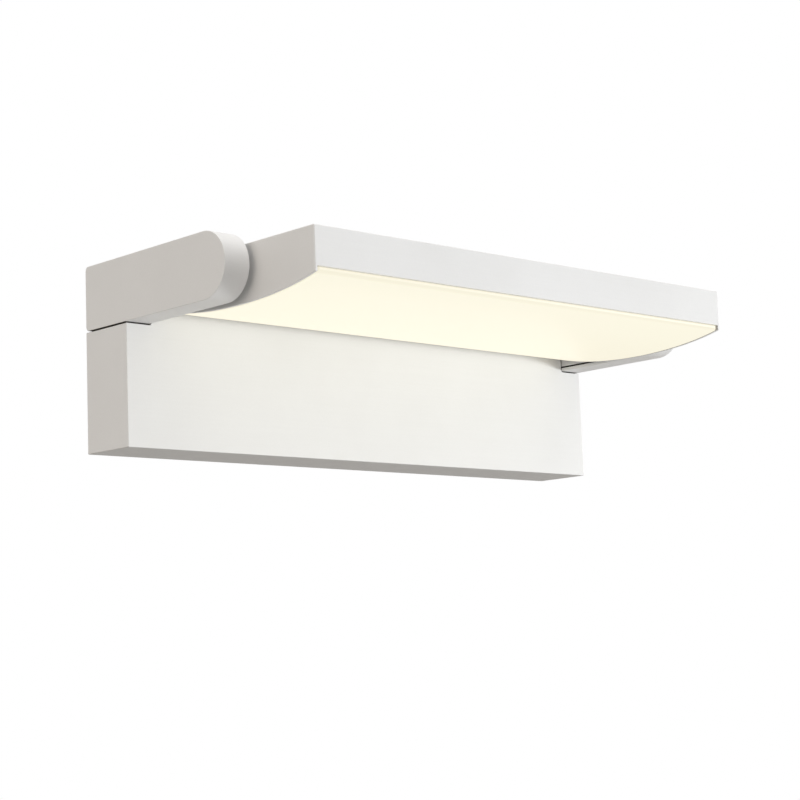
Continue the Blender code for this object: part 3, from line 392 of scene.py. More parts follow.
def opal_plastic(name):
    material, sheet = new_sheet(name)
    spot = sheet.place()
    grain = sheet.noise(spot, 0.4, 2.0)
    cloud = sheet.noise(spot, 30.0, 2.0)
    colour = sheet.mix(cloud, (0.10, 0.095, 0.08, 1.0), (0.115, 0.11, 0.095, 1.0))
    aside = abs(sheet.axis(spot, "X"))
    back = sheet.axis(spot, "Y") - pivot.y / MM
    fade = 0.85 * sheet.ramp(back, 16 - opal_half, opal_half - 2) + 0.10 * sheet.ramp(aside, 60.0, opal_side)
    fade = fade + 0.05 * cloud + 0.9 * sheet.ramp(back, 1.8 - opal_half, -opal_half)
    glow = sheet.mix(fade, (1.0, 0.96, 0.79, 1.0), (0.92, 0.865, 0.69, 1.0))
    normal = sheet.bump(grain, 0.008)
    sheet.surface({"Base Color": colour, "Roughness": 0.42 + 0.08 * grain, "Normal": normal,
                   "Emission Color": glow, "Emission Strength": 0.86})
    return material


opal = opal_plastic("opal_plastic")
print("made", opal.name)

# %% [markdown]
# The other finishes are met only when the head is turned or the light is seen from behind, yet each has
# the marks of how it was made. Turned stainless steel has fine rings and a soft shine. Zinc plating is
# bluish and spangled.

# %% Metals
def metal(name, dark, light, gloss, grain_size, stretch=(1, 1, 1), spangle=0.0):
    """Bare metal: two greys mixed by a grain, with the grain in its gloss and its bump too."""
    material, sheet = new_sheet(name)
    spot = sheet.place()
    grain = sheet.noise(sheet.place(stretch), grain_size, 3.0, 0.6)
    cloud = sheet.noise(spot, 14.0, 2.0)
    smear = sheet.noise(spot, 5.0, 3.0, 0.65)
    shade = sheet.ramp(grain) * 0.5 + sheet.ramp(cloud) * 0.5
    if spangle:
        cells = {"Vector": spot, "Scale": 1 / spangle}
        flakes = sheet.add("ShaderNodeTexVoronoi", None, cells, out="Color")
        level = sheet.add("ShaderNodeSeparateColor", None, {"Color": flakes}, out="Red")
        shade = shade * 0.6 + level * 0.4
    colour = sheet.mix(shade, dark, light)
    roughness = gloss + 0.10 * smear + 0.08 * grain
    normal = sheet.bump(grain, 0.006)
    sheet.surface({"Base Color": colour, "Roughness": roughness, "Normal": normal, "Metallic": 1.0})
    return material


stainless = metal("turned_stainless", (0.58, 0.57, 0.55, 1), (0.70, 0.69, 0.67, 1), gloss=0.20,
                  grain_size=0.35, stretch=(1, 1, 0.15))
zinc = metal("zinc_plating", (0.52, 0.54, 0.55, 1), (0.66, 0.68, 0.68, 1), gloss=0.30,
             grain_size=0.6, spangle=3.2)
brass = metal("turned_brass", (0.60, 0.44, 0.20, 1), (0.76, 0.59, 0.31, 1), gloss=0.24, grain_size=0.3)
print("metals", stainless.name, zinc.name, brass.name)

# %% [markdown]
# Mouldings, rubber and cable sheaths are plain colours with a fine grain, a broad cloud of wear and, on
# the dark ones, a little pale dust. One function writes them all, with the size and the depth of the
# grain as its terms.

# %% Plastics and rubbers
def moulding(name, colour, gloss, grain_size, depth, dust=0.0):
    material, sheet = new_sheet(name)
    spot = sheet.place()
    grain = sheet.noise(spot, grain_size, 3.0, 0.6)
    cloud = sheet.noise(spot, 12.0, 3.0, 0.6)
    pale = tuple(min(1.0, level * 1.10 + 0.004) for level in colour)
    deep = tuple(level * 0.90 for level in colour)
    shade = sheet.ramp(cloud) * 0.7 + sheet.ramp(grain) * 0.3
    skin = sheet.mix(shade, (*deep, 1), (*pale, 1))
    if dust:
        specks = sheet.ramp(sheet.noise(spot, 1.3, 4.0, 0.7), 0.55, 0.75) * dust
        skin = sheet.mix(specks, skin, (0.5, 0.48, 0.45, 1))
    normal = sheet.bump(grain, depth)
    sheet.surface({"Base Color": skin, "Roughness": gloss + 0.12 * cloud + 0.06 * grain, "Normal": normal})
    return material


rubber = moulding("soft_rubber", (0.028, 0.028, 0.028), 0.66, 0.5, 0.03, 0.10)
nylon = moulding("dark_nylon", (0.035, 0.035, 0.036), 0.40, 0.35, 0.01, 0.04)
silicone = moulding("soft_silicone", (0.42, 0.42, 0.41), 0.60, 0.6, 0.02)
white_plastic = moulding("pale_moulding", (0.86, 0.86, 0.84), 0.40, 0.4, 0.012)
case_plastic = moulding("case_moulding", (0.78, 0.78, 0.76), 0.45, 0.5, 0.02)
sheath = moulding("pale_sheath", (0.82, 0.82, 0.80), 0.42, 0.6, 0.012)
brown = moulding("brown_sleeve", (0.24, 0.11, 0.05), 0.38, 0.5, 0.01)
blue = moulding("blue_sleeve", (0.05, 0.16, 0.45), 0.38, 0.5, 0.01)
mouldings = (rubber, nylon, silicone, white_plastic, case_plastic, sheath, brown, blue)
print("mouldings", [finish.name for finish in mouldings])

# %% [markdown]
# Two finishes have two colours. The earth core is green with a yellow stripe, cut from a slanted wave.
# The LED board is white solder mask, and the small LED packages on its underside are yellow, told apart
# by their height.

# %% Earth core and LED board
def two_tone(name, choose, first, second, gloss):
    """A moulding in two colours; choose gives a signal that is 1 where the second one shows."""
    material, sheet = new_sheet(name)
    spot = sheet.place()
    grain = sheet.noise(spot, 0.5, 3.0)
    deep = tuple(0.9 * level for level in first[:3])
    tint = sheet.mix(sheet.noise(spot, 6.0, 2.0), first, (*deep, 1))
    colour = sheet.mix(choose(sheet, spot), tint, second)
    normal = sheet.bump(grain, 0.01)
    sheet.surface({"Base Color": colour, "Roughness": gloss + 0.1 * grain, "Normal": normal})
    return material


def slanted_stripe(sheet, spot):
    across = {0: spot, 1: (1, 0.6, 1)}
    slant = sheet.add("ShaderNodeVectorMath", {"operation": "DOT_PRODUCT"}, across, out="Value")
    wave = sheet.sum("SINE", slant * 1.6, 0.0)
    return sheet.ramp(wave, 0.25, 0.35)


def below_board(sheet, spot):
    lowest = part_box("led_board")[0].z / MM
    return sheet.ramp(sheet.axis(spot, "Z"), lowest + 0.66, lowest + 0.62)


green = two_tone("striped_sleeve", slanted_stripe, (0.10, 0.36, 0.09, 1), (0.80, 0.66, 0.06, 1), 0.38)
board = two_tone("white_board", below_board, (0.86, 0.87, 0.86, 1), (0.85, 0.62, 0.12, 1), 0.34)
print("two-tone", green.name, board.name)

# %% [markdown]
# Pieces are modelled as by hand: a primitive, then faces and edges picked by their place and pushed,
# inset or rounded. A pick that finds nothing stops the script, because the next step would then work on
# the wrong part.

# %% Selecting and naming
NEAR = 0.03 * MM
FINE_ANGLE = math.radians(30)


def only(*pieces):
    """Select these pieces and no others; the first is the active one."""
    bpy.ops.object.select_all(action="DESELECT")
    for piece in pieces:
        piece.select_set(True)
    bpy.context.view_layer.objects.active = pieces[0]


def give_name(piece, name):
    """Give a piece and its mesh the same name."""
    piece.name = name
    piece.data.name = name
    return piece


def named(name):
    """Put the place of the piece that was just added into its mesh, and name it."""
    bpy.ops.object.transform_apply(location=True, rotation=True, scale=True)
    return give_name(bpy.context.active_object, name)


def middle_of(name):
    """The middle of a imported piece."""
    piece_low, piece_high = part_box(name)
    return (piece_low + piece_high) / 2


print("the inlet is at", in_mm(middle_of("cable_grommet")))

# %% Blocks and bars
def block(name, low, high):
    """A cuboid between two corners."""
    low, high = Vector(low), Vector(high)
    bpy.ops.object.select_all(action="DESELECT")
    bpy.ops.mesh.primitive_cube_add(size=1.0, location=(low + high) / 2, scale=high - low)
    return named(name)


def bar(name, radius, spot, axis, first, last, sides=48, tip=None):
    """A round bar through a spot, from one level on an axis to another; a tip radius makes it a cone."""
    start, end = Vector(spot), Vector(spot)
    setattr(start, axis, first)
    setattr(end, axis, last)
    turn = (end - start).to_track_quat("Z", "Y").to_euler()
    bpy.ops.object.select_all(action="DESELECT")
    bpy.ops.mesh.primitive_cone_add(vertices=sides, radius1=radius, radius2=radius if tip is None else tip,
                                    depth=(end - start).length, location=(start + end) / 2, rotation=turn)
    return named(name)


# %% In and out of edit mode
def all_faces():
    bpy.ops.mesh.select_mode(type="FACE")
    bpy.ops.mesh.select_all(action="SELECT")


def edit(piece):
    """Go into edit mode with every face selected."""
    only(piece)
    bpy.ops.object.mode_set(mode="EDIT")
    all_faces()


def done():
    bpy.ops.object.mode_set(mode="OBJECT")


def face_out():
    """Turn all faces outwards and leave edit mode."""
    all_faces()
    bpy.ops.mesh.normals_make_consistent(inside=False)
    done()


# %% Picking by place
def lies(part, **levels):
    """True where every corner of a part is at the given x, y or z."""
    corners = [part] if isinstance(part, bmesh.types.BMVert) else part.verts
    return all(abs(getattr(corner.co, axis) - level) < NEAR for corner in corners
               for axis, level in levels.items())


def is_sharp(edge):
    """True for an edge whose two faces meet at an angle."""
    return edge.calc_face_angle(0.0) > FINE_ANGLE


def runs_along_x(edge):
    first, second = (corner.co for corner in edge.verts)
    return abs(first.y - second.y) < NEAR and abs(first.z - second.z) < NEAR


def middle(part):
    """The middle of an edge's or a face's corners."""
    corners = [corner.co for corner in part.verts]
    return sum(corners, Vector()) / len(corners)


def pick(kind, test):
    """In edit mode, select only the verts, edges or faces that pass a test."""
    bpy.ops.mesh.select_mode(type=kind)
    bpy.ops.mesh.select_all(action="DESELECT")
    piece = bpy.context.edit_object
    mesh = bmesh.from_edit_mesh(piece.data)
    parts = {"VERT": mesh.verts, "EDGE": mesh.edges, "FACE": mesh.faces}[kind]
    found = [part for part in parts if test(part)]
    if not found:
        raise ValueError(f"no {kind.lower()} to pick on {piece.name}")
    for part in found:
        part.select_set(True)
    mesh.select_flush_mode()
    bmesh.update_edit_mesh(piece.data)


# %% Pushing, slicing and rounding
def push(x=0.0, y=0.0, z=0.0):
    """Extrude the picked faces by a step."""
    bpy.ops.mesh.extrude_region_move(TRANSFORM_OT_translate={"value": (x, y, z)})


def inset(width):
    bpy.ops.mesh.inset(thickness=width, use_even_offset=True)


def slice_at(spot, normal):
    """Cut all faces along a plane."""
    all_faces()
    bpy.ops.mesh.bisect(plane_co=spot, plane_no=normal)


def merge_flat():
    """Take out the edges between faces that lie in one plane."""
    all_faces()
    bpy.ops.mesh.dissolve_limited(angle_limit=math.radians(0.5))


def round_off(width, steps):
    """Round the picked edges."""
    bpy.ops.mesh.bevel(offset=width, segments=steps, profile=0.5, affect="EDGES", clamp_overlap=False)


def round_rim(width, steps, **level):
    """Round the sharp edges that lie at one level."""
    pick("EDGE", lambda edge: lies(edge, **level) and is_sharp(edge))
    round_off(width, steps)


def round_corners(width, steps, **sides):
    """Round the edges where two pairs of sides meet, such as x=(left, right) and y=(front, rear)."""
    (first, first_pair), (second, second_pair) = sides.items()
    corners = [{first: one, second: other} for one in first_pair for other in second_pair]
    pick("EDGE", lambda edge: any(lies(edge, **corner) for corner in corners))
    round_off(width, steps)


# %% Working pieces together
def apply_modifier(piece, modifier):
    only(piece)
    bpy.ops.object.modifier_apply(modifier=modifier.name)


def work(piece, tools, operation):
    """Work tools into a piece with a Boolean, and take the tools away."""
    only(*tools)
    if len(tools) > 1:
        bpy.ops.object.join()
    tool = bpy.context.active_object
    boolean = piece.modifiers.new("work", "BOOLEAN")
    boolean.operation = operation
    boolean.solver = "EXACT"
    boolean.object = tool
    apply_modifier(piece, boolean)
    bpy.data.objects.remove(tool)


def carve(piece, *tools):
    work(piece, tools, "DIFFERENCE")


def weld(piece, *tools):
    work(piece, tools, "UNION")


# %% Copies, soft edges and the last step
def copied(piece, name):
    """A copy with its own mesh."""
    only(piece)
    bpy.ops.object.duplicate()
    return give_name(bpy.context.active_object, name)


def mirrored(piece, name):
    """A copy on the other side of the light."""
    twin = copied(piece, name)
    twin.scale = (-1, 1, 1)
    bpy.ops.object.transform_apply(location=False, rotation=False, scale=True)
    edit(twin)
    face_out()
    return twin


def ease_edges(piece, width, steps=2, clamped=True):
    """Round all the sharp edges that are left by a little; clamped narrows it where edges are short."""
    bevel = piece.modifiers.new("ease", "BEVEL")
    bevel.width = width
    bevel.segments = steps
    bevel.limit_method = "ANGLE"
    bevel.angle_limit = FINE_ANGLE
    bevel.use_clamp_overlap = clamped
    apply_modifier(piece, bevel)


def settle(piece, body, finish, node):
    """Shade a finished piece, give it its finish, and let it replace its node on its body."""
    only(piece)
    bpy.ops.object.shade_smooth_by_angle(angle=FINE_ANGLE)
    weighted = piece.modifiers.new("weighted", "WEIGHTED_NORMAL")
    weighted.keep_sharp = True
    apply_modifier(piece, weighted)
    piece.data.materials.clear()
    piece.data.materials.append(finish)
    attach(piece, body)
    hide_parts(node)
    print(f"{piece.name}: {len(piece.data.polygons)} faces on {body}")


def settle_both(left, right, body, finish, node):
    """Settle a left and a right piece; node is the name of the nodes that they replace, without the side."""
    settle(left, body, finish, f"{node}_left")
    settle(right, body, finish, f"{node}_right")


# %% [markdown]
# The wall box is a shallow casting, open to the wall, with a step cut out of each upper corner for an
# arm. By hand it grows from one cuboid: two slices mark the arms' steps, the middle of the top is pushed
# up, the back is inset and pushed in twice, first for the seat of the seal and then for the hollow. Only
# then are the corners rounded, because an inset would fold small arcs.

# %% The box's outline
box_low, box_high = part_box("base_housing")
arm_low, arm_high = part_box("arm_left")
arm_high.x = -arm_inside * MM
step_wall = joint_side * MM
step_floor = arm_low.z - 0.5 * MM


def outline(shrink):
    """The side, the step's wall and the step's floor, drawn in by a little."""
    return box_high.x - shrink, step_wall - shrink, step_floor - shrink


def stepped_block(name, rear, front, shrink=0.0):
    """A flat block with the box's front outline, whose rounded corners are still to come."""
    side, shoulder, floor = outline(shrink)
    piece = block(name, (-side, front, box_low.z + shrink), (side, rear, floor))
    edit(piece)
    for place in (-shoulder, shoulder):
        slice_at((place, 0, 0), (1, 0, 0))
    pick("FACE", lambda face: lies(face, z=floor) and abs(middle(face).x) < shoulder / 2)
    push(z=box_high.z - shrink - floor)
    merge_flat()
    return piece


def runs_at(edge, corners):
    """True where an edge runs along Y through one of these (x, z) corners, left or right."""
    first, second = (corner.co for corner in edge.verts)
    if abs(first.x - second.x) > NEAR or abs(first.z - second.z) > NEAR:
        return False
    return any(abs(abs(first.x) - x) < NEAR and abs(first.z - z) < NEAR for x, z in corners)


def round_outline(shrink, sharp, hollow):
    """Round the block's corners, and its two inner corners more widely."""
    side, shoulder, floor = outline(shrink)
    outer = [(side, box_low.z + shrink), (side, floor), (shoulder, box_high.z - shrink)]
    pick("EDGE", lambda edge: runs_at(edge, outer))
    round_off(sharp, 4)
    pick("EDGE", lambda edge: runs_at(edge, [(shoulder, floor)]))
    round_off(hollow, 8)


print("the arms' steps are", round((box_high.z - step_floor) / MM, 1), "mm high")

# %% Wall box
wall = 2.5 * MM
lip = 0.9 * MM
rim_level = -0.4 * MM
hollow_corners = (0.9 * MM, 3.5 * MM)

wall_box = stepped_block("wall_box", rim_level, box_low.y)
pick("FACE", lambda face: lies(face, y=rim_level))
inset(lip)
push(y=box_high.y - rim_level)
inset(wall - lip)
push(y=box_low.y + wall - box_high.y)
round_outline(0.0, 0.4 * MM, 1.3 * MM)
round_outline(wall, *hollow_corners)
round_rim(0.3 * MM, 3, y=box_low.y)
round_rim(0.15 * MM, 2, y=rim_level)
done()
print("wall box", in_mm(wall_box.dimensions))

# %% [markdown]
# Holes and posts are worked into the shell with Booleans, each from a round bar: two posts that the
# driver stands on, two pegs that hook behind the wall plate, the holes for the arms' screws and for the
# lead, and a countersunk hole above each ear of the plate. A cutter reaches a little beyond the face that
# it opens.

# %% Countersunk holes
over = 1.0 * MM


def countersink(piece, spot, axis, face, narrow, wide, deep, flat):
    """Carve a cone for a screw's head below a face, and a short straight mouth above the cone."""
    carve(piece, bar("sink", narrow, spot, axis, face - deep, face - flat, tip=wide))
    carve(piece, bar("mouth", wide, spot, axis, face - flat - 0.05 * MM, face + over))


# %% Posts and holes of the wall box
screw_hole = 2.3 * MM
lead_hole = 3.1 * MM
peg_place = 70.0 * MM
peg_level = -6.75 * MM
left_screws = ("arm_screw_left_1", "arm_screw_left_2")
right_screws = ("arm_screw_right_1", "arm_screw_right_2")
post_radius, post_height = 3.5 * MM, 2.0 * MM
peg_radius, peg_height = 2.0 * MM, 4.5 * MM
inside_front = box_low.y + wall
inside_low = box_low.z + wall

posts = []
for name in ("driver_screw_1", "driver_screw_2"):
    posts.append(bar("post", post_radius, middle_of(name), "y", inside_front - over,
                     inside_front + post_height))
for side in (-1, 1):
    peg_spot = (side * peg_place, peg_level, 0)
    posts.append(bar("peg", peg_radius, peg_spot, "z", inside_low - over, inside_low + peg_height))

holes = []
for name in left_screws + right_screws:
    spot = middle_of(name)
    side = math.copysign(1, spot.x)
    holes.append(bar("hole", screw_hole, spot, "x", side * (step_wall - wall - over),
                     side * (step_wall + over)))
lead_spot = middle_of("lead_grommet")
holes.append(bar("hole", lead_hole, lead_spot, "x", -step_wall - over, wall + over - step_wall))
for name in ("box_screw_left", "box_screw_right"):
    spot = middle_of(name)
    holes.append(bar("hole", screw_hole, spot, "z", box_high.z - wall - over, box_high.z))
    countersink(wall_box, spot, "z", box_high.z, screw_hole, wide=4.1 * MM, deep=2.2 * MM, flat=0.4 * MM)
weld(wall_box, *posts)
carve(wall_box, *holes)
settle(wall_box, WALL, paint, "base_housing")

# %% [markdown]
# An arm is a flat bar with a half-round nose, cast hollow so that the lead can run inside, and open
# towards the head where a cover plate is let in. The nose is the front of a cuboid rounded by half its
# height, then come the two rear corners, and last the outline on either side, because a bevel can follow
# a round corner but not make it.

# %% Arms
cover_low, cover_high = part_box("arm_cover_left")
cover_high.x = arm_high.x
fine_edge = 0.12 * MM
rim = 0.8 * MM
ledge = 1.5 * MM
ledge_face = cover_low.x - 0.3 * MM
pocket_face = 1.8 * MM - box_high.x


def nosed_bar(name, low, high, corner, steps):
    """A flat bar in edit mode, with a half-round nose and two rounded rear corners."""
    piece = block(name, low, high)
    edit(piece)
    pick("EDGE", lambda edge: lies(edge, y=low.y, z=low.z) or lies(edge, y=low.y, z=high.z))
    round_off((high.z - low.z) / 2, 24)
    all_faces()
    bpy.ops.mesh.remove_doubles(threshold=NEAR)
    pick("EDGE", lambda edge: lies(edge, y=high.y) and runs_along_x(edge))
    round_off(corner, steps)
    return piece


arm_left = nosed_bar("left_arm", arm_low, arm_high, 1.8 * MM, 6)
pick("EDGE", lambda edge: lies(edge, x=arm_high.x))
round_off(0.6 * MM, 4)
round_rim(0.3 * MM, 3, x=arm_low.x)
pick("FACE", lambda face: lies(face, x=arm_high.x))
inset(rim)
push(x=ledge_face - arm_high.x)
inset(ledge)
push(x=pocket_face - ledge_face)
merge_flat()
round_rim(fine_edge, 2, x=arm_high.x)
done()
print("arm", in_mm(arm_left.dimensions))

# %% [markdown]
# Inside the arm stand three screw posts. The two near the wall take the screws that come through the box,
# and the third takes the cover's own screw.

# %% Screw posts in the arms
thin_screw_hole = 1.5 * MM
thread_depth = 4.8 * MM
arm_post_radius = 3.4 * MM

posts = []
holes = []
for name in left_screws + ("cover_screw_left",):
    spot = middle_of(name)
    radius = screw_hole if name in left_screws else thin_screw_hole
    posts.append(bar("post", arm_post_radius, spot, "x", pocket_face - over / 2, ledge_face))
    holes.append(bar("hole", radius, spot, "x", ledge_face - thread_depth, ledge_face + over))
weld(arm_left, *posts)
carve(arm_left, *holes)
settle_both(arm_left, mirrored(arm_left, "right_arm"), WALL, paint, "arm")

# %% [markdown]
# The cover plate has the arm's outline, a little smaller, and lies flush in it. It carries the bush that
# the head turns in, and a half-round slot in which the stop pin runs, which limits the head to a quarter
# turn each way. The slot's cutter is a thin slice spun half round the pivot, and a round bar at each end
# gives it round ends.

# %% Cutters for the arm covers
pin_spot = middle_of("stop_pin_left")
pin_reach = pin_spot.y - pivot.y
slot_half = 1.3 * MM


def through_cover(radius, spot):
    return bar("hole", radius, spot, "x", cover_low.x - over, cover_high.x + over)


def slot_cutter():
    bottom = pivot.z - pin_reach
    cutter = block("slot", (cover_low.x - over, pivot.y - 0.01 * MM, bottom - slot_half),
                   (cover_high.x + over, pivot.y, bottom + slot_half))
    edit(cutter)
    pick("FACE", lambda face: lies(face, y=pivot.y))
    bpy.ops.mesh.spin(steps=36, angle=math.pi, center=pivot, axis=(1, 0, 0))
    face_out()
    return cutter


print("stop pin runs", round(pin_reach / MM, 2), "mm from the pivot")

# %% Arm covers
bush_hole = 5.65 * MM

cover_left = nosed_bar("left_arm_cover", cover_low, cover_high, 1.0 * MM, 4)
merge_flat()
round_rim(fine_edge, 2, x=cover_high.x)
done()
carve(cover_left, slot_cutter())
for rise in (-pin_reach, pin_reach):
    carve(cover_left, through_cover(slot_half, pivot + Vector((0, 0, rise))))
carve(cover_left, through_cover(bush_hole, pivot))
for name in left_screws:
    carve(cover_left, through_cover(screw_hole, middle_of(name)))
spot = middle_of("cover_screw_left")
countersink(cover_left, spot, "x", cover_high.x, thin_screw_hole, wide=2.7 * MM, deep=1.6 * MM,
            flat=0.3 * MM)
carve(cover_left, through_cover(thin_screw_hole, spot))
cover_right = mirrored(cover_left, "right_arm_cover")
carve(cover_left, through_cover(lead_hole, lead_spot))
settle_both(cover_left, cover_right, WALL, paint, "arm_cover")

# %% [markdown]
# The head is a shallow cast tray turned upside down. Its underside isn't flat: between the two long edges
# it hangs down in a soft bow. A block is sliced across its width, and each row of lower corners is let
# down by its own step. The diffuser is made the same way, so the two bows run side by side.

# %% Bowed blocks
head_low, head_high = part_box("head_housing")
bow_half = (head_high.y - head_low.y) / 2
bow_depth = 5.2 * MM
bow_share = 0.82
long_edge = pivot.z - 8.4 * MM
bow_slices = 24


def bow(y):
    """How far the underside hangs below the long edges, as a parabola with a slightly flattened middle."""
    across = (y - pivot.y) / bow_half
    return bow_depth * (bow_share * (1 - across ** 2) + (1 - bow_share) * (1 - across ** 4))


def bowed_block(name, low, high):
    """A block in edit mode, whose underside hangs down in a bow."""
    piece = block(name, low, high)
    edit(piece)
    for step in range(1, bow_slices):
        slice_at((0, low[1] + (high[1] - low[1]) * step / bow_slices, 0), (0, 1, 0))
    mesh = bmesh.from_edit_mesh(piece.data)
    rows = sorted({round(corner.co.y, 6) for corner in mesh.verts})
    for row in rows:
        pick("VERT", lambda corner: lies(corner, y=row, z=low[2]))
        bpy.ops.transform.translate(value=(0, 0, -bow(row)))
    merge_flat()
    return piece


def rounded_block(name, low, high, corner):
    """A block with its four upright edges rounded."""
    piece = block(name, low, high)
    edit(piece)
    round_corners(corner, 6, x=(low[0], high[0]), y=(low[1], high[1]))
    done()
    return piece


print("the underside hangs", round(bow(pivot.y) / MM, 2), "mm below the long edges")

# %% Head housing
head_wall = 2.6 * MM
head_roof = 2.8 * MM
head_inside = head_high.x - head_wall
ledge_level = 18.1 * MM
skin = head_skin * MM

housing = bowed_block("head_shell", (head_low.x, head_low.y, long_edge), head_high)
round_corners(0.6 * MM, 4, x=(head_low.x, head_high.x), y=(head_low.y, head_high.y))
round_rim(0.5 * MM, 3, z=head_high.z)
done()
carve(housing, rounded_block("cavity", (-head_inside, head_low.y + head_wall, ledge_level - over),
                             (head_inside, head_high.y - head_wall, head_high.z - head_roof), 3.0 * MM))
carve(housing, block("opening", (skin - head_high.x, head_low.y - over, head_low.z - over),
                     (head_high.x - skin, head_high.y + over, ledge_level)))
ease_edges(housing, 0.15 * MM)
print("head shell", in_mm(housing.dimensions))

# %% Hubs of the head
pivot_hole = 4.3 * MM
pin_hole, pin_depth = 1.3 * MM, 1.9 * MM
hub_radius, hub_height = 5.7 * MM, 1.6 * MM

for side in (-1, 1):
    inner = side * head_inside
    outer = side * head_high.x
    beyond = outer + side * over
    hub_face = inner - side * hub_height
    weld(housing, bar("hub", hub_radius, pivot, "x", hub_face, inner + side * over, 64))
    carve(housing, bar("hole", pivot_hole, pivot, "x", hub_face - side * over, beyond, 64))
    carve(housing, bar("hole", pin_hole, pin_spot, "x", outer - side * pin_depth, beyond, 24))
settle(housing, HEAD, paint, "head_housing")

# %% [markdown]
# The diffuser is a moulded opal panel. Its rounded lip shows below the long sides of the head and spreads
# their lower edge with light, while at the two ends it lies behind the head's own skin.

# %% Diffuser
opal_low, opal_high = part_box("diffuser")
lip_width = 1.3 * MM
end_gap = 0.3 * MM
flange_level = opal_high.z - 0.8 * MM
hollow_side = 106.5 * MM
hollow_half = 41.0 * MM
panel_wall = 2.2 * MM

diffuser = bowed_block("opal_diffuser", (opal_low.x - over, opal_low.y, long_edge),
                       (opal_high.x + over, opal_high.y, opal_high.z))
for side in (opal_low.y, opal_high.y):
    pick("EDGE", lambda edge: lies(edge, y=side) and runs_along_x(edge)
         and middle(edge).z < opal_high.z - NEAR)
    round_off(1.4 * MM, 6)
done()
plan = rounded_block("plan", (opal_low.x + end_gap, opal_low.y, opal_low.z - over),
                     (opal_high.x - end_gap, opal_high.y, opal_high.z + over), 1.0 * MM)
work(diffuser, [plan], "INTERSECT")
carve(diffuser, block("rebate", (opal_low.x - over, opal_low.y + lip_width, flange_level),
                      (opal_high.x + over, opal_high.y - lip_width, opal_high.z + over)))
hollow = bowed_block("hollow", (-hollow_side, pivot.y - hollow_half, long_edge + panel_wall),
                     (hollow_side, pivot.y + hollow_half, opal_high.z + over))
done()
carve(diffuser, hollow)
ease_edges(diffuser, fine_edge)
settle(diffuser, HEAD, opal, "diffuser")
print("diffuser", in_mm(diffuser.dimensions))

# %% [markdown]
# Round pieces are raised like a turner's blank: a disc is pushed up and widened ring by ring. A ring
# needs no Boolean at all, because both end faces of a bar can be inset to the bore and bridged through
# its middle.

# %% Turned pieces and rings
def turned(name, steps, sides=48):
    """A round piece on the Z axis, raised from a disc; each step is a radius and a level in millimetres."""
    radius, level = steps[0]
    bpy.ops.object.select_all(action="DESELECT")
    bpy.ops.mesh.primitive_circle_add(vertices=sides, radius=radius * MM, fill_type="NGON",
                                      location=(0, 0, level * MM))
    piece = named(name)
    edit(piece)
    for wide, high in steps[1:]:
        push(z=(high - level) * MM)
        share = wide / radius
        bpy.ops.transform.resize(value=(share, share, 1), center_override=(0, 0, high * MM))
        radius, level = wide, high
    face_out()
    return piece


def ring(name, outer, inner, spot, first, last):
    """A ring that lies across the X axis."""
    piece = bar(name, outer, spot, "x", first, last, 64)
    edit(piece)
    pick("FACE", lambda face: abs(face.normal.x) > 0.99)
    inset(outer - inner)
    bpy.ops.mesh.bridge_edge_loops()
    face_out()
    return piece


# %% [markdown]
# Between each arm and the head sits a black nylon spacer, nearly the only dark thing in that narrow gap.
# Below it the stop pin reaches from the head into the slot of the cover. Both turn with the head.

# %% Spacers and stop pins
spacer_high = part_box("spacer_left")[1]
spacer_left = ring("left_spacer", spacer_high.z - pivot.z, pivot_hole, pivot, arm_high.x + 0.3 * MM,
                   spacer_high.x)
ease_edges(spacer_left, 0.3 * MM)
settle_both(spacer_left, mirrored(spacer_left, "right_spacer"), HEAD, nylon, "spacer")

pin_low, pin_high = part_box("stop_pin_left")
pin_radius = (pin_high.z - pin_low.z) / 2
pin_left = bar("left_stop_pin", pin_radius, pin_spot, "x", pin_low.x, pin_high.x, 32)
ease_edges(pin_left, 0.25 * MM, 3)
pin_right = mirrored(pin_left, "right_stop_pin")
settle_both(pin_left, pin_right, HEAD, stainless, "stop_pin")

# %% [markdown]
# All the screws that can be seen are stainless, with a hexagon socket. The box and the covers have
# countersunk ones that lie flush. The arms' screws are inside the box, seen only from behind, and have a
# raised round head. One screw of each kind is raised along Z and copied to its places, with the socket
# carved by a six-sided bar.

# %% One screw of each kind
def socket_screw(name, shank, head, height, length, sunk):
    """A screw on the Z axis: zero is the face of a sunk head, or the seat under a raised one."""
    tip = [(0.7 * shank, -length), (shank, 0.4 - length)]
    if sunk:
        top = 0.0
        steps = tip + [(shank, -height), (head, -0.2 * height), (head, top)]
    else:
        top = height
        steps = tip + [(shank, 0.0), (head, 0.0), (head, 0.75 * height), (0.8 * head, top)]
    screw = turned(name, steps)
    socket_floor = (top - 0.6 * height) * MM
    carve(screw, bar("socket", 0.5 * head * MM, (0, 0, 0), "z", socket_floor, top * MM + over, 6))
    ease_edges(screw, 0.1 * MM)
    return screw


def reach_of(name, axis):
    """A node's length along one axis, in millimetres."""
    node_low, node_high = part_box(name)
    return (node_high[axis] - node_low[axis]) / MM


raised = 2.4
box_screw = socket_screw("left_box_screw", shank=2.0, head=3.8, height=1.9,
                         length=reach_of("box_screw_left", 2), sunk=True)
arm_screw = socket_screw("left_arm_screw_1", shank=2.0, head=3.5, height=raised,
                         length=reach_of("arm_screw_left_1", 0) - raised, sunk=False)
cover_screw = socket_screw("left_cover_screw", shank=1.2, head=2.4, height=1.3,
                           length=reach_of("cover_screw_left", 0), sunk=True)

# %% Screws in their places
def stand(piece, spot, along):
    """Turn a piece from the Z axis to another direction, with its zero on a spot."""
    only(piece)
    piece.rotation_euler = Vector(along).to_track_quat("Z", "Y").to_euler()
    piece.location = spot
    bpy.ops.object.transform_apply(location=True, rotation=True, scale=True)


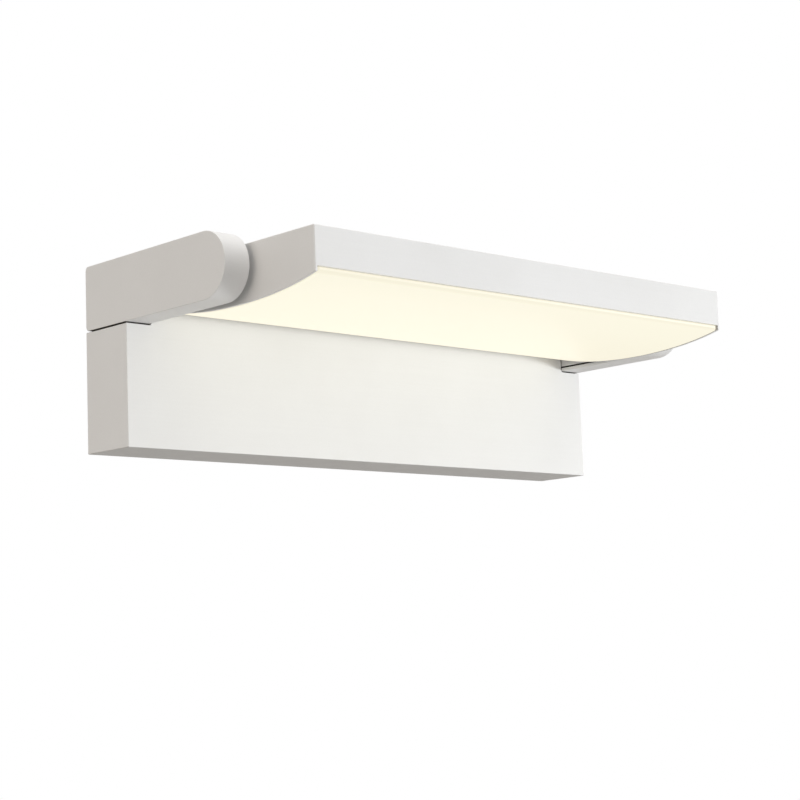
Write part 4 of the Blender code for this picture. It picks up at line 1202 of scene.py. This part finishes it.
screws = [(box_screw, "box_screw_left", (0, 0, 1)),
          (copied(box_screw, "right_box_screw"), "box_screw_right", (0, 0, 1)),
          (cover_screw, "cover_screw_left", (1, 0, 0)),
          (copied(cover_screw, "right_cover_screw"), "cover_screw_right", (-1, 0, 0)),
          (arm_screw, "arm_screw_left_1", (1, 0, 0)),
          (copied(arm_screw, "left_arm_screw_2"), "arm_screw_left_2", (1, 0, 0)),
          (copied(arm_screw, "right_arm_screw_1"), "arm_screw_right_1", (-1, 0, 0)),
          (copied(arm_screw, "right_arm_screw_2"), "arm_screw_right_2", (-1, 0, 0))]
for screw, node, out in screws:
    out = Vector(out)
    low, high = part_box(node)
    spot = (low + high) / 2 + out * ((high - low).dot(Vector(map(abs, out))) / 2)
    if node.startswith("arm"):
        spot = spot - out * raised * MM
    if node.startswith("cover"):
        spot.x = arm_high.x * out.x
    stand(screw, spot, out)
    settle(screw, WALL, stainless, node)

# %% [markdown]
# Seen from behind, the light is closed by its wall plate, folded from zinc-plated sheet. Two ears at its
# top reach forward under the box's screws, and two tabs at its bottom hook behind the pegs. It is made
# the way a sheet-metal shop would: slices mark the strips, they are pushed out, their ends are folded
# forward, and a bevel bends them.

# %% Wall plate
plate_low, plate_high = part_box("wall_plate")
thick = 1.5 * MM
bend = 0.7 * MM
plate_side = plate_high.x
plate_top = 29.0 * MM
fold = plate_high.z - thick
ear_place = 60.0 * MM
ear_places = (-ear_place, ear_place)
tab_places = (-peg_place, peg_place)
ear_half = 7.0 * MM


def on_strip(face, places):
    """True where a face's middle lies within a strip."""
    return any(abs(middle(face).x - place) < ear_half for place in places)


plate = block("back_plate", (-plate_side, -thick, -plate_top), (plate_side, 0, plate_top))
edit(plate)
round_corners(6.0 * MM, 8, x=(-plate_side, plate_side), z=(-plate_top, plate_top))
for place in ear_places + tab_places:
    for strip_edge in (place - ear_half, place + ear_half):
        slice_at((strip_edge, 0, 0), (1, 0, 0))
for places, turn in ((ear_places, 1), (tab_places, -1)):
    pick("FACE", lambda face: lies(face, z=turn * plate_top) and on_strip(face, places))
    push(z=turn * (fold - plate_top))
    push(z=turn * thick)
    pick("FACE", lambda face: lies(face, y=-thick) and on_strip(face, places)
         and abs(middle(face).z) > fold)
    push(y=plate_low.y + thick)
merge_flat()
for y, reach, radius in ((0, plate_high.z, bend + thick), (-thick, fold, bend)):
    pick("EDGE", lambda edge: lies(edge, y=y) and runs_along_x(edge)
         and abs(abs(middle(edge).z) - reach) < NEAR)
    round_off(radius, 6)
merge_flat()
pick("EDGE", lambda edge: lies(edge, y=plate_low.y) and not runs_along_x(edge))
round_off(1.6 * MM, 5)
done()
print("plate", in_mm(plate.dimensions))

# %% Slots and holes of the wall plate
hang_place = 100.0 * MM
hang_half = 2.5 * MM
ear_hole_level = -9.5 * MM
inside_fold, outside_fold = 25.0 * MM, 40.0 * MM
inlet_hole, earth_hole, block_hole = 6.8 * MM, 2.2 * MM, 1.4 * MM
inlet = middle_of("cable_grommet")


def through_plate(radius, x, z, sides=32):
    return bar("hole", radius, (x, 0, z), "y", over, -thick - over, sides)


def through_fold(x, y, turn):
    """A cutter for the hole in an ear, or in a tab where turn is -1."""
    return bar("hole", screw_hole, (x, y, 0), "z", turn * inside_fold, turn * outside_fold)


for side in (-1, 1):
    hang_x = side * hang_place
    carve(plate, block("slot", (hang_x - hang_half, -thick - over, -hang_half),
                       (hang_x + hang_half, over, hang_half)))
    for end in (hang_x - side * hang_half, hang_x + side * hang_half):
        carve(plate, through_plate(hang_half, end, 0))
    carve(plate, through_fold(side * ear_place, ear_hole_level, 1))
    carve(plate, through_fold(side * peg_place, peg_level, -1))
carve(plate, through_plate(inlet_hole, inlet.x, inlet.z, 64))
earth_spot = middle_of("earth_screw")
block_spot = middle_of("block_screw")
carve(plate, through_plate(earth_hole, earth_spot.x, earth_spot.z),
      through_plate(block_hole, block_spot.x, block_spot.z))
# The cuts leave stray points on the rims of the holes, in other places on each run. Those that all but touch
# are merged, and the rounding is not clamped, so it is equally wide every time.
edit(plate)
bpy.ops.mesh.remove_doubles(threshold=NEAR)
done()
ease_edges(plate, 0.15 * MM, clamped=False)
settle(plate, WALL, zinc, "wall_plate")

# %% [markdown]
# The mains cable comes through a rubber grommet with a tapered snout, held in the plate by its groove. A
# thin foam ring with the box's own outline seals it to the wall.

# %% Cable grommet
grommet_steps = [(6.5, 0.3), (6.5, 1.8), (8.7, 1.8), (8.7, 3.8), (6.5, 3.8), (4.6, 7.8)]
cable_radius = 3.5 * MM
grommet = turned("inlet_grommet", grommet_steps, 64)
carve(grommet, bar("bore", cable_radius, (0, 0, 0), "z", -over, grommet_steps[-1][1] * MM + over))
ease_edges(grommet, 0.25 * MM, 3)
stand(grommet, (inlet.x, 0, inlet.z), (0, -1, 0))
settle(grommet, WALL, rubber, "cable_grommet")

# %% Wall seal
seal_low, seal_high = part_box("wall_seal")
seal_inset = lip + 0.1 * MM
foam = stepped_block("foam_ring", seal_high.y, seal_low.y, seal_inset)
round_outline(seal_inset, 0.3 * MM, 1.8 * MM)
done()
opening = stepped_block("opening", seal_high.y + over, seal_low.y - over, wall)
round_outline(wall, *hollow_corners)
done()
carve(foam, opening)
ease_edges(foam, 0.2 * MM)
settle(foam, WALL, rubber, "wall_seal")

# %% [markdown]
# What stays as it was packed lies inside the box, the arms and the head. Each of those pieces still gets
# its own finish, found by the name of its slot.

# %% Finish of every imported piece
finishes = {"painted_aluminium": paint, "opal_panel": opal, "wall_plate_steel": zinc,
            "stainless_steel": stainless, "brass": brass, "white_moulding": white_plastic,
            "board_metal": board, "driver_case": case_plastic, "grey_silicone": silicone,
            "black_rubber": rubber, "black_nylon": nylon, "brown_core": brown, "blue_core": blue,
            "green_core": green, "white_sheath": sheath}
for node in frame["nodes"].values():
    node.data.materials[0] = finishes[node.data.materials[0].name]
print("packed pieces", len(frame["nodes"]))

# %% Print the visual box
low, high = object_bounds()
print("visual box", in_mm(low), in_mm(high))
